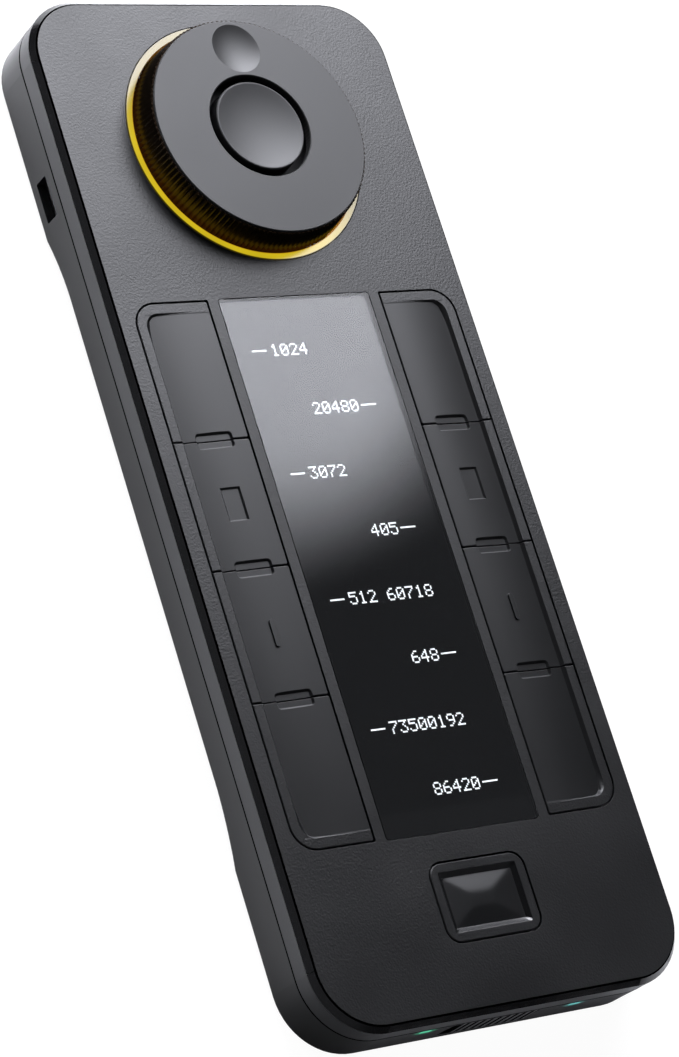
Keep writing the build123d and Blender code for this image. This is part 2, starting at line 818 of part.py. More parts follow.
# ---------------------------------------------------------------- bottom shell
def scoop_block(rise):
    """The hollow under the raised middle of the underside, lifted by rise."""
    foot_z = body_bottom_z + rise
    crown_z = foot_z + scoop_depth
    scoop_low_y = scoop_low_margin - half_length
    scoop_high_y = half_length - scoop_high_margin
    with BuildPart(mode=Mode.PRIVATE) as block:
        with BuildSketch(Plane.YZ):
            with BuildLine():
                flat_low = (scoop_low_y + scoop_low_run, crown_z)
                flat_high = (scoop_high_y - scoop_high_run, crown_z)
                TangentArc(flat_low, (scoop_low_y, foot_z), tangent=(-1, 0))
                Line(flat_low, flat_high)
                TangentArc(flat_high, (scoop_high_y, foot_z), tangent=(1, 0))
                Polyline((scoop_low_y, foot_z), (scoop_low_y, foot_z - scoop_depth),
                         (scoop_high_y, foot_z - scoop_depth), (scoop_high_y, foot_z))
            make_face()
        extrude(amount=body_width, both=True)
    return block.part


scoop = scoop_block(0)
scoop_floor = scoop_block(floor_wall)
foot_width = body_width - 2 * foot_side_margin
foot_points = ((0, half_length - dial_foot_margin), (0, set_foot_margin - half_length))
slider_z = seam_z - slider_drop
slider_slot_z = seam_z - slider_slot_drop
slider_rail_width = slider_width - 2 * slider_rail_inset
light_z = seam_z - light_drop
light_x = slider_width / 2 + slider_to_light
circuit_x = half_width - circuit_side_margin
socket_y = half_length - socket_end_margin
socket_z = board_bottom_z - socket_shell_height / 2
pocket_back_y = -(half_length - skin_inset(slider_z)) + slider_pocket_depth
end_wall_inner_y = -(half_length - skin_inset(seam_z) - wall)
pocket_middle_x = -slider_travel / 2
pocket_width = slider_width + slider_travel + 2 * slider_play

with BuildPart() as shell_cavity:
    with BuildSketch(Plane.XY.offset(inner_floor_z)):
        outline(seam_z, wall)
    extrude(amount=face_z - inner_floor_z)
    add(scoop_floor, mode=Mode.SUBTRACT)

with BuildPart() as bottom_shell:
    with BuildSketch(Plane.XY.offset(seam_z)):
        outline(seam_z)
    extrude(amount=body_bottom_z - seam_z, taper=side_draft)
    add(scoop, mode=Mode.SUBTRACT)
    low_edges = bottom_shell.edges().filter_by(
        lambda edge: edge.center().Z < body_bottom_z + scoop_depth + contact_gap)
    rim_edges = low_edges.filter_by(
        lambda edge: abs(edge.center().X) > half_width / 2 or abs(edge.center().Y) > half_length - wall)
    fillet(rim_edges, radius=underside_radius)
    # Lip that locates the cover.
    with BuildSketch(Plane.XY.offset(seam_z)):
        outline(seam_z, wall - lip_thickness)
    extrude(amount=lip_height)
    add(shell_cavity.part, mode=Mode.SUBTRACT)
    # Posts that carry the board.
    with BuildSketch(Plane.XY.offset(board_bottom_z)):
        with Locations(*screw_points):
            Circle(post_radius)
    extrude(until=Until.NEXT, dir=(0, 0, -1))
    with BuildSketch():
        with Locations(*screw_points):
            Circle(screw_radius + seat_clearance)
    extrude(amount=board_bottom_z, mode=Mode.SUBTRACT)
    with BuildSketch():
        with Locations(*screw_points):
            Circle(screw_head_radius + seat_clearance)
    extrude(amount=screw_seat_z, mode=Mode.SUBTRACT)
    # Pockets for the feet.
    with BuildSketch(Plane.XY.offset(body_bottom_z)):
        with Locations(*foot_points):
            RectangleRounded(foot_width + 2 * seat_clearance, foot_length + 2 * seat_clearance,
                             foot_corner + seat_clearance)
    extrude(amount=foot_recess, mode=Mode.SUBTRACT)
    # Socket slot in the -X wall.
    with BuildSketch(Plane.YZ.offset(-half_width)):
        with Locations((socket_y, socket_z)):
            RectangleRounded(socket_slot_length, socket_slot_height, socket_slot_corner)
    extrude(amount=2 * wall, mode=Mode.SUBTRACT)
    # Slider pocket, slider slot and light windows in the -Y wall.
    with BuildSketch(Plane.XZ.offset(-pocket_back_y)):
        with Locations((pocket_middle_x, slider_z)):
            Rectangle(pocket_width, slider_height + 2 * slider_play)
    extrude(amount=wall, mode=Mode.SUBTRACT)
    with BuildSketch(Plane.XZ.offset(-end_wall_inner_y)):
        with Locations((pocket_middle_x, slider_slot_z)):
            Rectangle(slider_rail_width + slider_travel + 2 * slider_play, slider_slot_height)
        with Locations((-light_x, light_z), (light_x, light_z)):
            RectangleRounded(light_width, light_height, light_corner)
    extrude(amount=2 * wall, both=True, mode=Mode.SUBTRACT)
save(bottom_shell.part, "bottom_shell")

with BuildPart() as feet:
    with BuildSketch():
        with Locations(*foot_points):
            RectangleRounded(foot_width, foot_length, foot_corner)
    extrude(amount=foot_proud + foot_recess)
    fillet(feet.faces().group_by(Axis.Z)[0].edges(), radius=foot_edge)
save(feet.part, "feet")

with BuildPart() as cover_screws:
    with BuildSketch(Plane.XY.offset(screw_seat_z)):
        with Locations(*screw_points):
            Circle(screw_radius)
    extrude(amount=screw_length)
    with BuildSketch(Plane.XY.offset(screw_seat_z)):
        with Locations(*screw_points):
            Circle(screw_head_radius)
    extrude(amount=-screw_head_height)
    with BuildSketch(Plane.XY.offset(screw_seat_z - screw_head_height)):
        with Locations(*screw_points):
            Rectangle(2 * screw_radius, screw_slot)
            Rectangle(screw_slot, 2 * screw_radius)
    extrude(amount=screw_head_height / 2, mode=Mode.SUBTRACT)
save(cover_screws.part, "cover_screws")

# ---------------------------------------------------------------- main board and its circuits
board_half_length = half_length - skin_inset(board_bottom_z) - wall - board_margin
with BuildPart() as main_board:
    with BuildSketch(Plane.XY.offset(board_bottom_z)):
        outline(board_bottom_z, wall + board_margin)
        with Locations(*screw_points):
            Circle(screw_radius + 2 * seat_clearance, mode=Mode.SUBTRACT)
        with Locations((pocket_middle_x, -board_half_length)):
            Rectangle(power_switch_width - 2 * seat_clearance, 2 * fork_depth, mode=Mode.SUBTRACT)
    extrude(amount=board_thickness)
save(main_board.part, "main_board")

with BuildPart() as radio_module:
    with BuildSketch(Plane.XY.offset(board_top_z)):
        with Locations((circuit_x, set_y)):
            RectangleRounded(radio_width, radio_length, radio_corner)
    extrude(amount=radio_height)
save(radio_module.part, "radio_module")

with BuildPart() as processor:
    with BuildSketch(Plane.XY.offset(board_top_z)):
        with Locations((-circuit_x, set_y)):
            Rectangle(chip_size, chip_size)
    extrude(amount=chip_height)
save(processor.part, "processor")

# ---------------------------------------------------------------- charging socket
socket_face_x = -(half_width - skin_inset(seam_z) - wall - seat_clearance)
socket_plane = Plane(origin=(socket_face_x, socket_y, socket_z), x_dir=(0, 1, 0), z_dir=(1, 0, 0))
with BuildPart() as charge_socket:
    with BuildSketch(socket_plane):
        RectangleRounded(socket_length, socket_shell_height, socket_shell_corner)
    extrude(amount=socket_depth)
    with BuildSketch(socket_plane):
        RectangleRounded(socket_length - 2 * socket_shell, socket_shell_height - 2 * socket_shell,
                         socket_shell_corner - socket_shell)
    extrude(amount=socket_depth - socket_shell, mode=Mode.SUBTRACT)
    with BuildSketch(socket_plane.offset(socket_depth - socket_shell)):
        Rectangle(tongue_length, tongue_height)
    extrude(amount=-tongue_depth)
save(charge_socket.part, "charge_socket")

# ---------------------------------------------------------------- power slider and its switch
pad_back_y = pocket_back_y - contact_gap
pad_face_y = pocket_back_y - slider_pocket_depth
keeper_face_y = end_wall_inner_y + seat_clearance
rail_height = slider_slot_height - 2 * slider_play
with BuildPart() as power_slider:
    with BuildSketch(Plane.XZ.offset(-pad_back_y)):
        with Locations((0, slider_z)):
            Rectangle(slider_width, slider_height)
    extrude(amount=pad_back_y - pad_face_y)
    with BuildSketch(Plane.XZ.offset(-pad_face_y)):
        with Locations((0, slider_z)):
            with GridLocations(slider_rib_pitch, slider_height, slider_rib_count, 1):
                Rectangle(slider_rib_pitch - slider_rib_width, slider_height)
    extrude(amount=-slider_rib_depth, mode=Mode.SUBTRACT)
    with BuildSketch(Plane.XZ.offset(-pad_back_y)):
        with Locations((0, slider_slot_z)):
            Rectangle(slider_rail_width, rail_height)
    extrude(amount=-(keeper_face_y - pad_back_y))
    with BuildSketch(Plane.XZ.offset(-keeper_face_y)):
        with Locations((0, slider_slot_z)):
            Rectangle(slider_rail_width, slider_keeper_height)
    extrude(amount=-slider_keeper_thickness)
    with BuildSketch(Plane.XZ.offset(-keeper_face_y)):
        for tine_side in (-1, 1):
            tine_x = tine_side * (lever_width / 2 + seat_clearance + fork_tine / 2)
            with Locations((tine_x, slider_slot_z)):
                Rectangle(fork_tine, slider_keeper_height)
    extrude(amount=-(slider_keeper_thickness + fork_depth))
save(power_slider.part, "power_slider")

lever_z = board_top_z + lever_lift
switch_face_y = keeper_face_y + slider_keeper_thickness + fork_depth + seat_clearance
with BuildPart() as power_switch:
    with BuildSketch(Plane.XY.offset(board_top_z)):
        with Locations((pocket_middle_x, switch_face_y + power_switch_depth / 2)):
            Rectangle(power_switch_width, power_switch_depth)
    extrude(amount=power_switch_height)
    with BuildSketch(Plane.XZ.offset(-switch_face_y)):
        with Locations((pocket_middle_x, lever_z + lever_height / 2)):
            Rectangle(lever_width + slider_travel + 2 * seat_clearance,
                      lever_height + 2 * seat_clearance)
    extrude(amount=-power_switch_depth / 2, mode=Mode.SUBTRACT)
save(power_switch.part, "power_switch")

with BuildPart() as power_lever:
    with BuildSketch(Plane.XZ.offset(-switch_face_y - power_switch_depth / 2 + seat_clearance)):
        with Locations((0, lever_z + lever_height / 2)):
            Rectangle(lever_width, lever_height)
    extrude(amount=power_switch_depth / 2 + fork_depth)
save(power_lever.part, "power_lever")

# ---------------------------------------------------------------- status lights
light_face_y = -(half_length - skin_inset(light_z))
led_y = -board_half_length


def build_status_pipe(x):
    """One light pipe: its window in the end wall, and the collar that keeps it there."""
    with BuildPart() as pipe:
        with BuildSketch(Plane.XZ.offset(-light_face_y)):
            with Locations((x, light_z)):
                RectangleRounded(light_width - seat_clearance, light_height - seat_clearance,
                                 light_corner)
        extrude(amount=-(led_y - seat_clearance - light_face_y))
        with BuildSketch(Plane.XZ.offset(-keeper_face_y)):
            with Locations((x, light_z)):
                Rectangle(light_width + 2 * light_flange, light_height + 2 * light_flange)
        extrude(amount=-light_flange_thickness)
    return pipe.part


save(build_status_pipe(-light_x), "status_pipe_left")
save(build_status_pipe(light_x), "status_pipe_right")

with BuildPart() as status_leds:
    with BuildSketch(Plane.XY.offset(board_top_z)):
        with Locations((-light_x, led_y + light_height / 2), (light_x, led_y + light_height / 2)):
            Rectangle(light_width, light_height)
    extrude(amount=status_led_height)
save(status_leds.part, "status_leds")

# ---------------------------------------------------------------- battery
battery_floor_z = inner_floor_z + battery_tape
battery_thickness = board_bottom_z - battery_board_gap - battery_floor_z
battery_width = 2 * (screw_x - post_radius - battery_post_gap)
battery_y = half_length - battery_end_margin - battery_length / 2
with BuildPart() as battery:
    with BuildSketch(Plane.XY.offset(battery_floor_z)):
        with Locations((0, battery_y)):
            Rectangle(battery_width, battery_length)
    extrude(amount=battery_thickness)
    fillet(battery.edges().filter_by(Axis.Y), radius=battery_edge)
save(battery.part, "battery")

with BuildPart() as battery_pad:
    with BuildSketch(Plane.XY.offset(inner_floor_z)):
        with Locations((0, battery_y)):
            Rectangle(battery_width - 2 * battery_edge, battery_length - 2 * battery_edge)
    extrude(amount=battery_tape)
save(battery_pad.part, "battery_pad")

# Two leads run from the cell to a plug under the board.
battery_end_y = battery_y - battery_length / 2
lead_z = battery_floor_z + battery_thickness / 2
with BuildPart() as battery_leads:
    with BuildSketch(Plane.XZ.offset(-battery_end_y)):
        with Locations((-lead_spacing / 2, lead_z), (lead_spacing / 2, lead_z)):
            Circle(lead_radius)
    extrude(amount=lead_length)
save(battery_leads.part, "battery_leads")

with BuildPart() as battery_plug:
    with BuildSketch(Plane.XY.offset(board_bottom_z)):
        with Locations((0, battery_end_y - lead_length - lead_connector_length / 2)):
            Rectangle(lead_connector_width, lead_connector_length)
    extrude(amount=lead_z - lead_radius - contact_gap - board_bottom_z)
save(battery_plug.part, "battery_plug")
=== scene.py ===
"""Looks of a macro keypad with one lit dial: its finishes, its fine pieces and a pale studio.

Lengths in the classes are millimetres in the part's own frame: X across, Y towards the dial, Z up
from the plane that the feet stand on. They become metres where a mesh or a node is made.
"""

import logging
import math
from dataclasses import dataclass, field
from enum import Enum
from typing import Iterable, Sequence

import bmesh
import bpy
from mathutils import Matrix, Vector


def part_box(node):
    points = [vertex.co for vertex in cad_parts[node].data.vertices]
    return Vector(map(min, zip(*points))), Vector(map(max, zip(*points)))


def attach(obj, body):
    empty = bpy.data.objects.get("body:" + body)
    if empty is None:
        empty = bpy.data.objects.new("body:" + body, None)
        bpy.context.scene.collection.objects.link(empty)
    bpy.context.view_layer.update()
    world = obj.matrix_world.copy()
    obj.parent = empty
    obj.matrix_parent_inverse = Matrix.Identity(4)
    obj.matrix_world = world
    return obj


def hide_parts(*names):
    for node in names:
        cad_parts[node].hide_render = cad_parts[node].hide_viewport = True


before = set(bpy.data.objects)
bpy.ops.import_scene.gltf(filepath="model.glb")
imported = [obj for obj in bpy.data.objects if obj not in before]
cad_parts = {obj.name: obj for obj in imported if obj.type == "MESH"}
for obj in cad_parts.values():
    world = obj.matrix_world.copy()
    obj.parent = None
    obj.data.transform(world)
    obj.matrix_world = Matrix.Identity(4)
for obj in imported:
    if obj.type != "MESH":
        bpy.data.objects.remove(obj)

MM = 0.001
SHARP = math.radians(33.0)
WELD = 0.001
EDGE_SAMPLES = 4
ROUGH_SPECULAR = 0.41
DIAL_Y = 54.46

# The colour inputs and the colour output of a Mix node.
MIX_INPUTS = (6, 7)
MIX_OUTPUT = 2

# The skins. Spreads count in grain sizes, sizes and radii are in millimetres, and the edge turn is the
# cosine of a softened edge's turn where the lighter edge starts and where it is full: rubbed wear on
# most parts, a painted highlight on the power slider's ribs.
PEBBLE_SPREAD = 1.15
PEBBLE_SHARE = 0.55
SWELL_SHARE = 0.6
BRUSH_STRETCH = (1.0, 0.06, 0.06)
SMOOTH_SPREAD = 6
MOTTLE_SIZE = 9.0
DRIFT_SIZE = 14.0
DRIFT_LIMITS = (0.3, 0.7)
WEAR_AND_HIGHLIGHT_RADIUS = 0.22
WEAR_AND_HIGHLIGHT_TURN = (0.995, 0.90)
PATCH_SIZE = 3.0
PATCH_LIMITS = (0.35, 0.7)
PALE_GAIN = 2.2
PALE_LIFT = 0.01

Triple = tuple[float, float, float]
Colour = Triple
Pair = tuple[float, float]
WHITE: Colour = (1.0, 1.0, 1.0)
log = logging.getLogger("keypad")


# ---------------------------------------------------------------------------------------------
# Node trees
# ---------------------------------------------------------------------------------------------


class NodeGraph:
    """A node tree with short calls that add nodes and join them."""

    def __init__(self, tree: bpy.types.NodeTree) -> None:
        """Takes an empty or default tree and clears it."""
        self.tree = tree
        self.tree.nodes.clear()

    def node(self, kind: str, inputs: dict | None = None, **settings: object) -> bpy.types.Node:
        """Adds one node.

        Args:
            kind: the node's type name.
            inputs: values or sockets by input name or number.
            settings: the node's own properties.

        Returns:
            The new node.
        """
        made = self.tree.nodes.new(kind)
        for name, value in settings.items():
            setattr(made, name, value)
        for key, value in (inputs or {}).items():
            self.feed(made.inputs[key], value)
        return made

    def feed(self, socket: bpy.types.NodeSocket, value: object) -> None:
        """Joins a value to an input.

        Args:
            socket: the input.
            value: the socket that it is linked to, or its plain value.
        """
        if isinstance(value, bpy.types.NodeSocket):
            self.tree.links.new(value, socket)
        else:
            socket.default_value = value

    def math(self, operation: str, *values: object, clamp: bool = False) -> bpy.types.NodeSocket:
        """Adds a Math node.

        Args:
            operation: its operation's name.
            values: up to three values or sockets.
            clamp: whether the result stays from 0 to 1.

        Returns:
            The result's socket.
        """
        made = self.node("ShaderNodeMath", operation=operation, use_clamp=clamp)
        for socket, value in zip(made.inputs, values):
            self.feed(socket, value)
        return made.outputs[0]

    def times(self, first: object, *others: object) -> object:
        """The product of values or sockets.

        Args:
            first: the first of them.
            others: what it is multiplied by, in order.

        Returns:
            The product's socket.
        """
        for other in others:
            first = self.math("MULTIPLY", first, other)
        return first

    def minus(self, value: object, taken: object) -> bpy.types.NodeSocket:
        """A value or socket less another."""
        return self.math("SUBTRACT", value, taken)

    def distance(self, across: object, along: object) -> bpy.types.NodeSocket:
        """How far a point of a plane lies from 0, 0."""
        squares = self.math("ADD", self.times(across, across), self.times(along, along))
        return self.math("SQRT", squares)

    def place(self) -> bpy.types.NodeSocket:
        """The point in the object's own coordinates, in metres."""
        return self.node("ShaderNodeTexCoord").outputs["Object"]

    def axes(self) -> tuple[bpy.types.NodeSocket, ...]:
        """The point's x, y and z in the object's own coordinates."""
        parts = self.node("ShaderNodeSeparateXYZ", {0: self.place()})
        return tuple(parts.outputs)

    def polar(self, centre_y: float) -> tuple[bpy.types.NodeSocket, bpy.types.NodeSocket]:
        """The point's place round an upright line at x 0.

        Args:
            centre_y: the line's y in millimetres.

        Returns:
            The distance from the line in metres, and the angle round it.
        """
        at = self.node("ShaderNodeMapping", {"Vector": self.place(),
                                             "Location": (0, -centre_y * MM, 0)}).outputs[0]
        x, y, _ = self.node("ShaderNodeSeparateXYZ", {0: at}).outputs
        flat = self.node("ShaderNodeCombineXYZ", {0: x, 1: y}).outputs[0]
        length = self.node("ShaderNodeVectorMath", {0: flat}, operation="LENGTH").outputs["Value"]
        return length, self.math("ARCTAN2", y, x)

    def noise(self, size: float, detail: float = 2.0, stretch: Triple = (1, 1, 1)) -> bpy.types.NodeSocket:
        """Soft noise from 0 to 1.

        Args:
            size: the size of one swell in millimetres.
            detail: how many finer layers lie on it.
            stretch: how much the pattern is squeezed along x, y and z.

        Returns:
            The noise value's socket.
        """
        at = self.node("ShaderNodeMapping", {"Vector": self.place(), "Scale": stretch}).outputs[0]
        made = self.node("ShaderNodeTexNoise", {"Vector": at, "Scale": 1 / (size * MM), "Detail": detail})
        return made.outputs[0]

    def cells(self, size: float) -> bpy.types.NodeSocket:
        """Smooth cell heights from 0 to about 1 for pebbles of a size in millimetres."""
        made = self.node("ShaderNodeTexVoronoi", {"Vector": self.place(), "Scale": 1 / (size * MM)},
                         feature="SMOOTH_F1")
        return made.outputs["Distance"]

    def remap(self, value: object, low: float, high: float, to_low: object = 0.0,
              to_high: object = 1.0, smooth: bool = False) -> bpy.types.NodeSocket:
        """Maps one range onto another, and stops at its ends.

        Args:
            value: what is mapped.
            low: the start of its range.
            high: the end of its range.
            to_low: what the start becomes.
            to_high: what the end becomes.
            smooth: whether the line between is S-shaped.

        Returns:
            The mapped value's socket.
        """
        kind = "SMOOTHSTEP" if smooth else "LINEAR"
        made = self.node("ShaderNodeMapRange", {"Value": value, "From Min": low, "From Max": high,
                                                "To Min": to_low, "To Max": to_high},
                         interpolation_type=kind)
        return made.outputs[0]

    def ramp(self, value: object, limits: Pair, to_low: float = 0.0, to_high: float = 1.0,
             smooth: bool = False) -> bpy.types.NodeSocket:
        """Maps a length as remap does, from its two limits in millimetres."""
        return self.remap(value, limits[0] * MM, limits[1] * MM, to_low, to_high, smooth)

    def blend(self, share: object, first: object, second: object) -> bpy.types.NodeSocket:
        """Mixes two colours.

        Args:
            share: how much of the second there is, from 0 to 1.
            first: the first colour or its socket.
            second: the second colour or its socket.

        Returns:
            The mixed colour's socket.
        """
        made = self.node("ShaderNodeMix", {0: share}, data_type="RGBA")
        for number, value in zip(MIX_INPUTS, (first, second)):
            self.feed(made.inputs[number], (*value, 1.0) if isinstance(value, tuple) else value)
        return made.outputs[MIX_OUTPUT]

    def show(self, surface: bpy.types.NodeSocket) -> None:
        """Joins a surface to the material's output."""
        self.node("ShaderNodeOutputMaterial", {"Surface": surface})


def new_material(name: str) -> tuple[bpy.types.Material, NodeGraph]:
    """Makes a material.

    Args:
        name: its name.

    Returns:
        The material and its empty node graph.
    """
    material = bpy.data.materials.new(name)
    material.use_nodes = True
    return material, NodeGraph(material.node_tree)


# ---------------------------------------------------------------------------------------------
# Finishes
# ---------------------------------------------------------------------------------------------


class Grain(Enum):
    """The skin that a tool or a process leaves on a surface."""

    LEATHER = "leather"
    SPARK = "spark"
    BRUSHED = "brushed"
    SMOOTH = "smooth"


@dataclass(frozen=True)
class Finish:
    """One procedural finish, moulded plastic unless its numbers say otherwise.

    The colour is linear. Grain size and depth are in millimetres.
    """

    name: str
    colour: Colour
    roughness: float = 0.4
    grain: Grain = Grain.SPARK
    grain_size: float = 0.15
    grain_depth: float = 0.002
    mottle: float = 0.12
    gloss_drift: float = 0.03
    metallic: float = 0.0
    specular: float = 0.5
    specular_tint: Colour = WHITE
    ior: float = 1.5
    coat: float = 0.0
    coat_roughness: float = 0.1
    glow: Colour | None = None
    glow_strength: float = 1.0
    # How much the edges are lightened: rubbed wear on most finishes, a painted highlight on the power
    # slider.
    wear_and_highlight: float = 0.0
    soft_edge: float = 0.05

    def height(self, graph: NodeGraph) -> bpy.types.NodeSocket:
        """The skin's height.

        Args:
            graph: the material's node graph.

        Returns:
            The height's socket, from 0 to 1.
        """
        size = self.grain_size
        if self.grain is Grain.LEATHER:
            swells = graph.noise(size, detail=2.0)
            pebbles = graph.cells(size * PEBBLE_SPREAD)
            return graph.math("MULTIPLY_ADD", pebbles, PEBBLE_SHARE, graph.times(swells, SWELL_SHARE))
        if self.grain is Grain.BRUSHED:
            return graph.noise(size, detail=1.0, stretch=BRUSH_STRETCH)
        if self.grain is Grain.SPARK:
            return graph.noise(size, detail=3.0)
        return graph.noise(size * SMOOTH_SPREAD, detail=1.0)

    def relief(self, graph: NodeGraph) -> bpy.types.NodeSocket:
        """The skin's height in millimetres."""
        return graph.times(self.height(graph), self.grain_depth)

    def normal(self, graph: NodeGraph) -> bpy.types.NodeSocket:
        """The surface's normal with softened edges and its grain.

        Args:
            graph: the material's node graph.

        Returns:
            The normal's socket.
        """
        inputs = {"Strength": 1.0, "Distance": MM, "Height": self.relief(graph)}
        if self.soft_edge:
            inputs["Normal"] = graph.node("ShaderNodeBevel", {"Radius": self.soft_edge * MM},
                                          samples=EDGE_SAMPLES).outputs[0]
        return graph.node("ShaderNodeBump", inputs).outputs[0]

    def paint(self, graph: NodeGraph) -> bpy.types.NodeSocket:
        """The colour with its slow, faint variation and lighter edges: rubbed wear, and a painted highlight
        on the power slider.

        Args:
            graph: the material's node graph.

        Returns:
            The colour's socket.
        """
        dark = tuple(c * (1 - self.mottle) for c in self.colour)
        light = tuple(c * (1 + self.mottle) for c in self.colour)
        mixed = graph.blend(graph.noise(MOTTLE_SIZE, detail=4.0), dark, light)
        if not self.wear_and_highlight:
            return mixed
        # Lighter edges: rubbed wear, and on the power slider a painted highlight.
        pale = tuple(c * PALE_GAIN + PALE_LIFT for c in self.colour)
        return graph.blend(self.edge_mask(graph), mixed, pale)

    def edge_mask(self, graph: NodeGraph) -> bpy.types.NodeSocket:
        """Where the edges are lighter, broken up by noise: rubbed wear on most parts, a painted highlight on
        the power slider's ribs.

        Args:
            graph: the material's node graph.

        Returns:
            The mask's socket, 0 where no edge is lightened.
        """
        round_normal = graph.node("ShaderNodeBevel", {"Radius": WEAR_AND_HIGHLIGHT_RADIUS * MM},
                                  samples=EDGE_SAMPLES).outputs[0]
        flat_normal = graph.node("ShaderNodeNewGeometry").outputs["Normal"]
        along = graph.node("ShaderNodeVectorMath", {0: round_normal, 1: flat_normal},
                           operation="DOT_PRODUCT").outputs["Value"]
        edge = graph.remap(along, *WEAR_AND_HIGHLIGHT_TURN)
        patchy = graph.remap(graph.noise(PATCH_SIZE, detail=3.0), *PATCH_LIMITS)
        return graph.math("MULTIPLY", graph.times(edge, patchy), self.wear_and_highlight, clamp=True)

    def sheen_level(self, graph: NodeGraph) -> bpy.types.NodeSocket:
        """Roughness with fine and slow variation."""
        slow = graph.remap(graph.noise(DRIFT_SIZE, detail=3.0), *DRIFT_LIMITS, -self.gloss_drift,
                           self.gloss_drift)
        return graph.math("ADD", slow, self.roughness, clamp=True)

    def build(self) -> bpy.types.Material:
        """Makes the material.

        Returns:
            The new material, named after the finish.
        """
        material, graph = new_material(self.name)
        shader = graph.node("ShaderNodeBsdfPrincipled", {
            "Base Color": self.paint(graph),
            "Roughness": self.sheen_level(graph),
            "Normal": self.normal(graph),
            "Metallic": self.metallic,
            "IOR": self.ior,
            "Specular IOR Level": self.specular,
            "Specular Tint": (*self.specular_tint, 1.0),
            "Coat Weight": self.coat,
            "Coat Roughness": self.coat_roughness,
        })
        self.extra(graph, shader)
        graph.show(shader.outputs[0])
        return material

    def extra(self, graph: NodeGraph, shader: bpy.types.Node) -> None:
        """Adds the glow, where there is one.

        Args:
            graph: the material's node graph.
            shader: its main shader.
        """
        if self.glow is not None:
            graph.feed(shader.inputs["Emission Color"], (*self.glow, 1.0))
            graph.feed(shader.inputs["Emission Strength"], self.glow_strength)


@dataclass(frozen=True)
class CoverFinish(Finish):
    """The top cover's grained skin, a little paler down its side band."""

    band_z: Pair = (11.0, 11.4)
    band: Colour = (0.019, 0.0195, 0.021)
    band_relief: float = 0.2

    def face(self, graph: NodeGraph) -> bpy.types.NodeSocket:
        """1 on the face, 0 on the band."""
        _, _, z = graph.axes()
        return graph.ramp(z, self.band_z)

    def paint(self, graph: NodeGraph) -> bpy.types.NodeSocket:
        """The face's colour, and the band's below it."""
        return graph.blend(self.face(graph), self.band, super().paint(graph))

    def relief(self, graph: NodeGraph) -> bpy.types.NodeSocket:
        """Full grain on the face and less on the band."""
        share = graph.remap(self.face(graph), 0.0, 1.0, self.band_relief, 1.0)
        return graph.times(super().relief(graph), share)


@dataclass(frozen=True)
class CapFinish(Finish):
    """The dial's satin cap, with painted shade on the wall of its hole: matt and nearly black there."""

    hole_limits: Pair = (8.27, 8.24)
    # Painted shade for the hole's wall.
    hole_shade_colour: Colour = (0.0008, 0.0008, 0.0009)

    def wall(self, graph: NodeGraph) -> bpy.types.NodeSocket:
        """1 on the hole's wall, 0 on the cap's top."""
        radius, _ = graph.polar(DIAL_Y)
        return graph.ramp(radius, self.hole_limits)

    def paint(self, graph: NodeGraph) -> bpy.types.NodeSocket:
        """The cap's colour, with painted shade nearly black in the hole."""
        return graph.blend(self.wall(graph), super().paint(graph), self.hole_shade_colour)

    def sheen_level(self, graph: NodeGraph) -> bpy.types.NodeSocket:
        """The cap's roughness, full in the hole."""
        return graph.math("MAXIMUM", super().sheen_level(graph), self.wall(graph))


@dataclass(frozen=True)
class KnurlFinish(Finish):
    """The knurled skirt, warm in part as a painted reflection of the ring's glow, with painted shade on its
    teeth's ends.
    """

    # Where the painted shade on the teeth's upper ends lies, and how dark it is.
    top_shade_limits: Pair = (16.38, 16.5)
    top_shade_colour: Colour = (0.0005, 0.0005, 0.0005)

    def end(self, graph: NodeGraph) -> bpy.types.NodeSocket:
        """1 on the teeth's upper ends, 0 below."""
        _, _, z = graph.axes()
        return graph.ramp(z, self.top_shade_limits)

    def paint(self, graph: NodeGraph) -> bpy.types.NodeSocket:
        """The skirt's colour, with painted shade nearly black at its upper end."""
        return graph.blend(self.end(graph), super().paint(graph), self.top_shade_colour)

    def sheen_level(self, graph: NodeGraph) -> bpy.types.NodeSocket:
        """The skirt's roughness, full at its upper end."""
        return graph.math("MAXIMUM", super().sheen_level(graph), self.end(graph))


@dataclass(frozen=True)
class WellFinish(Finish):
    """The lower button's plastic: grained on its frame, polished inside its well."""

    centre_y: float = -62.48
    half_size: Pair = (6.45, 4.2)
    fade: float = 0.2
    polish: float = 0.22

    def frame_share(self, graph: NodeGraph) -> bpy.types.NodeSocket:
        """1 on the frame, 0 in the well.

        Args:
            graph: the material's node graph.

        Returns:
            The share's socket.
        """
        x, y, _ = graph.axes()
        across = graph.minus(graph.math("ABSOLUTE", x), self.half_size[0] * MM)
        from_middle = graph.math("ABSOLUTE", graph.minus(y, self.centre_y * MM))
        along = graph.minus(from_middle, self.half_size[1] * MM)
        return graph.ramp(graph.math("MAXIMUM", across, along), (0.0, self.fade))

    def relief(self, graph: NodeGraph) -> bpy.types.NodeSocket:
        """Grain on the frame alone."""
        return graph.times(super().relief(graph), self.frame_share(graph))

    def sheen_level(self, graph: NodeGraph) -> bpy.types.NodeSocket:
        """The frame's roughness, and less in the well."""
        return graph.remap(self.frame_share(graph), 0.0, 1.0, self.polish, super().sheen_level(graph))


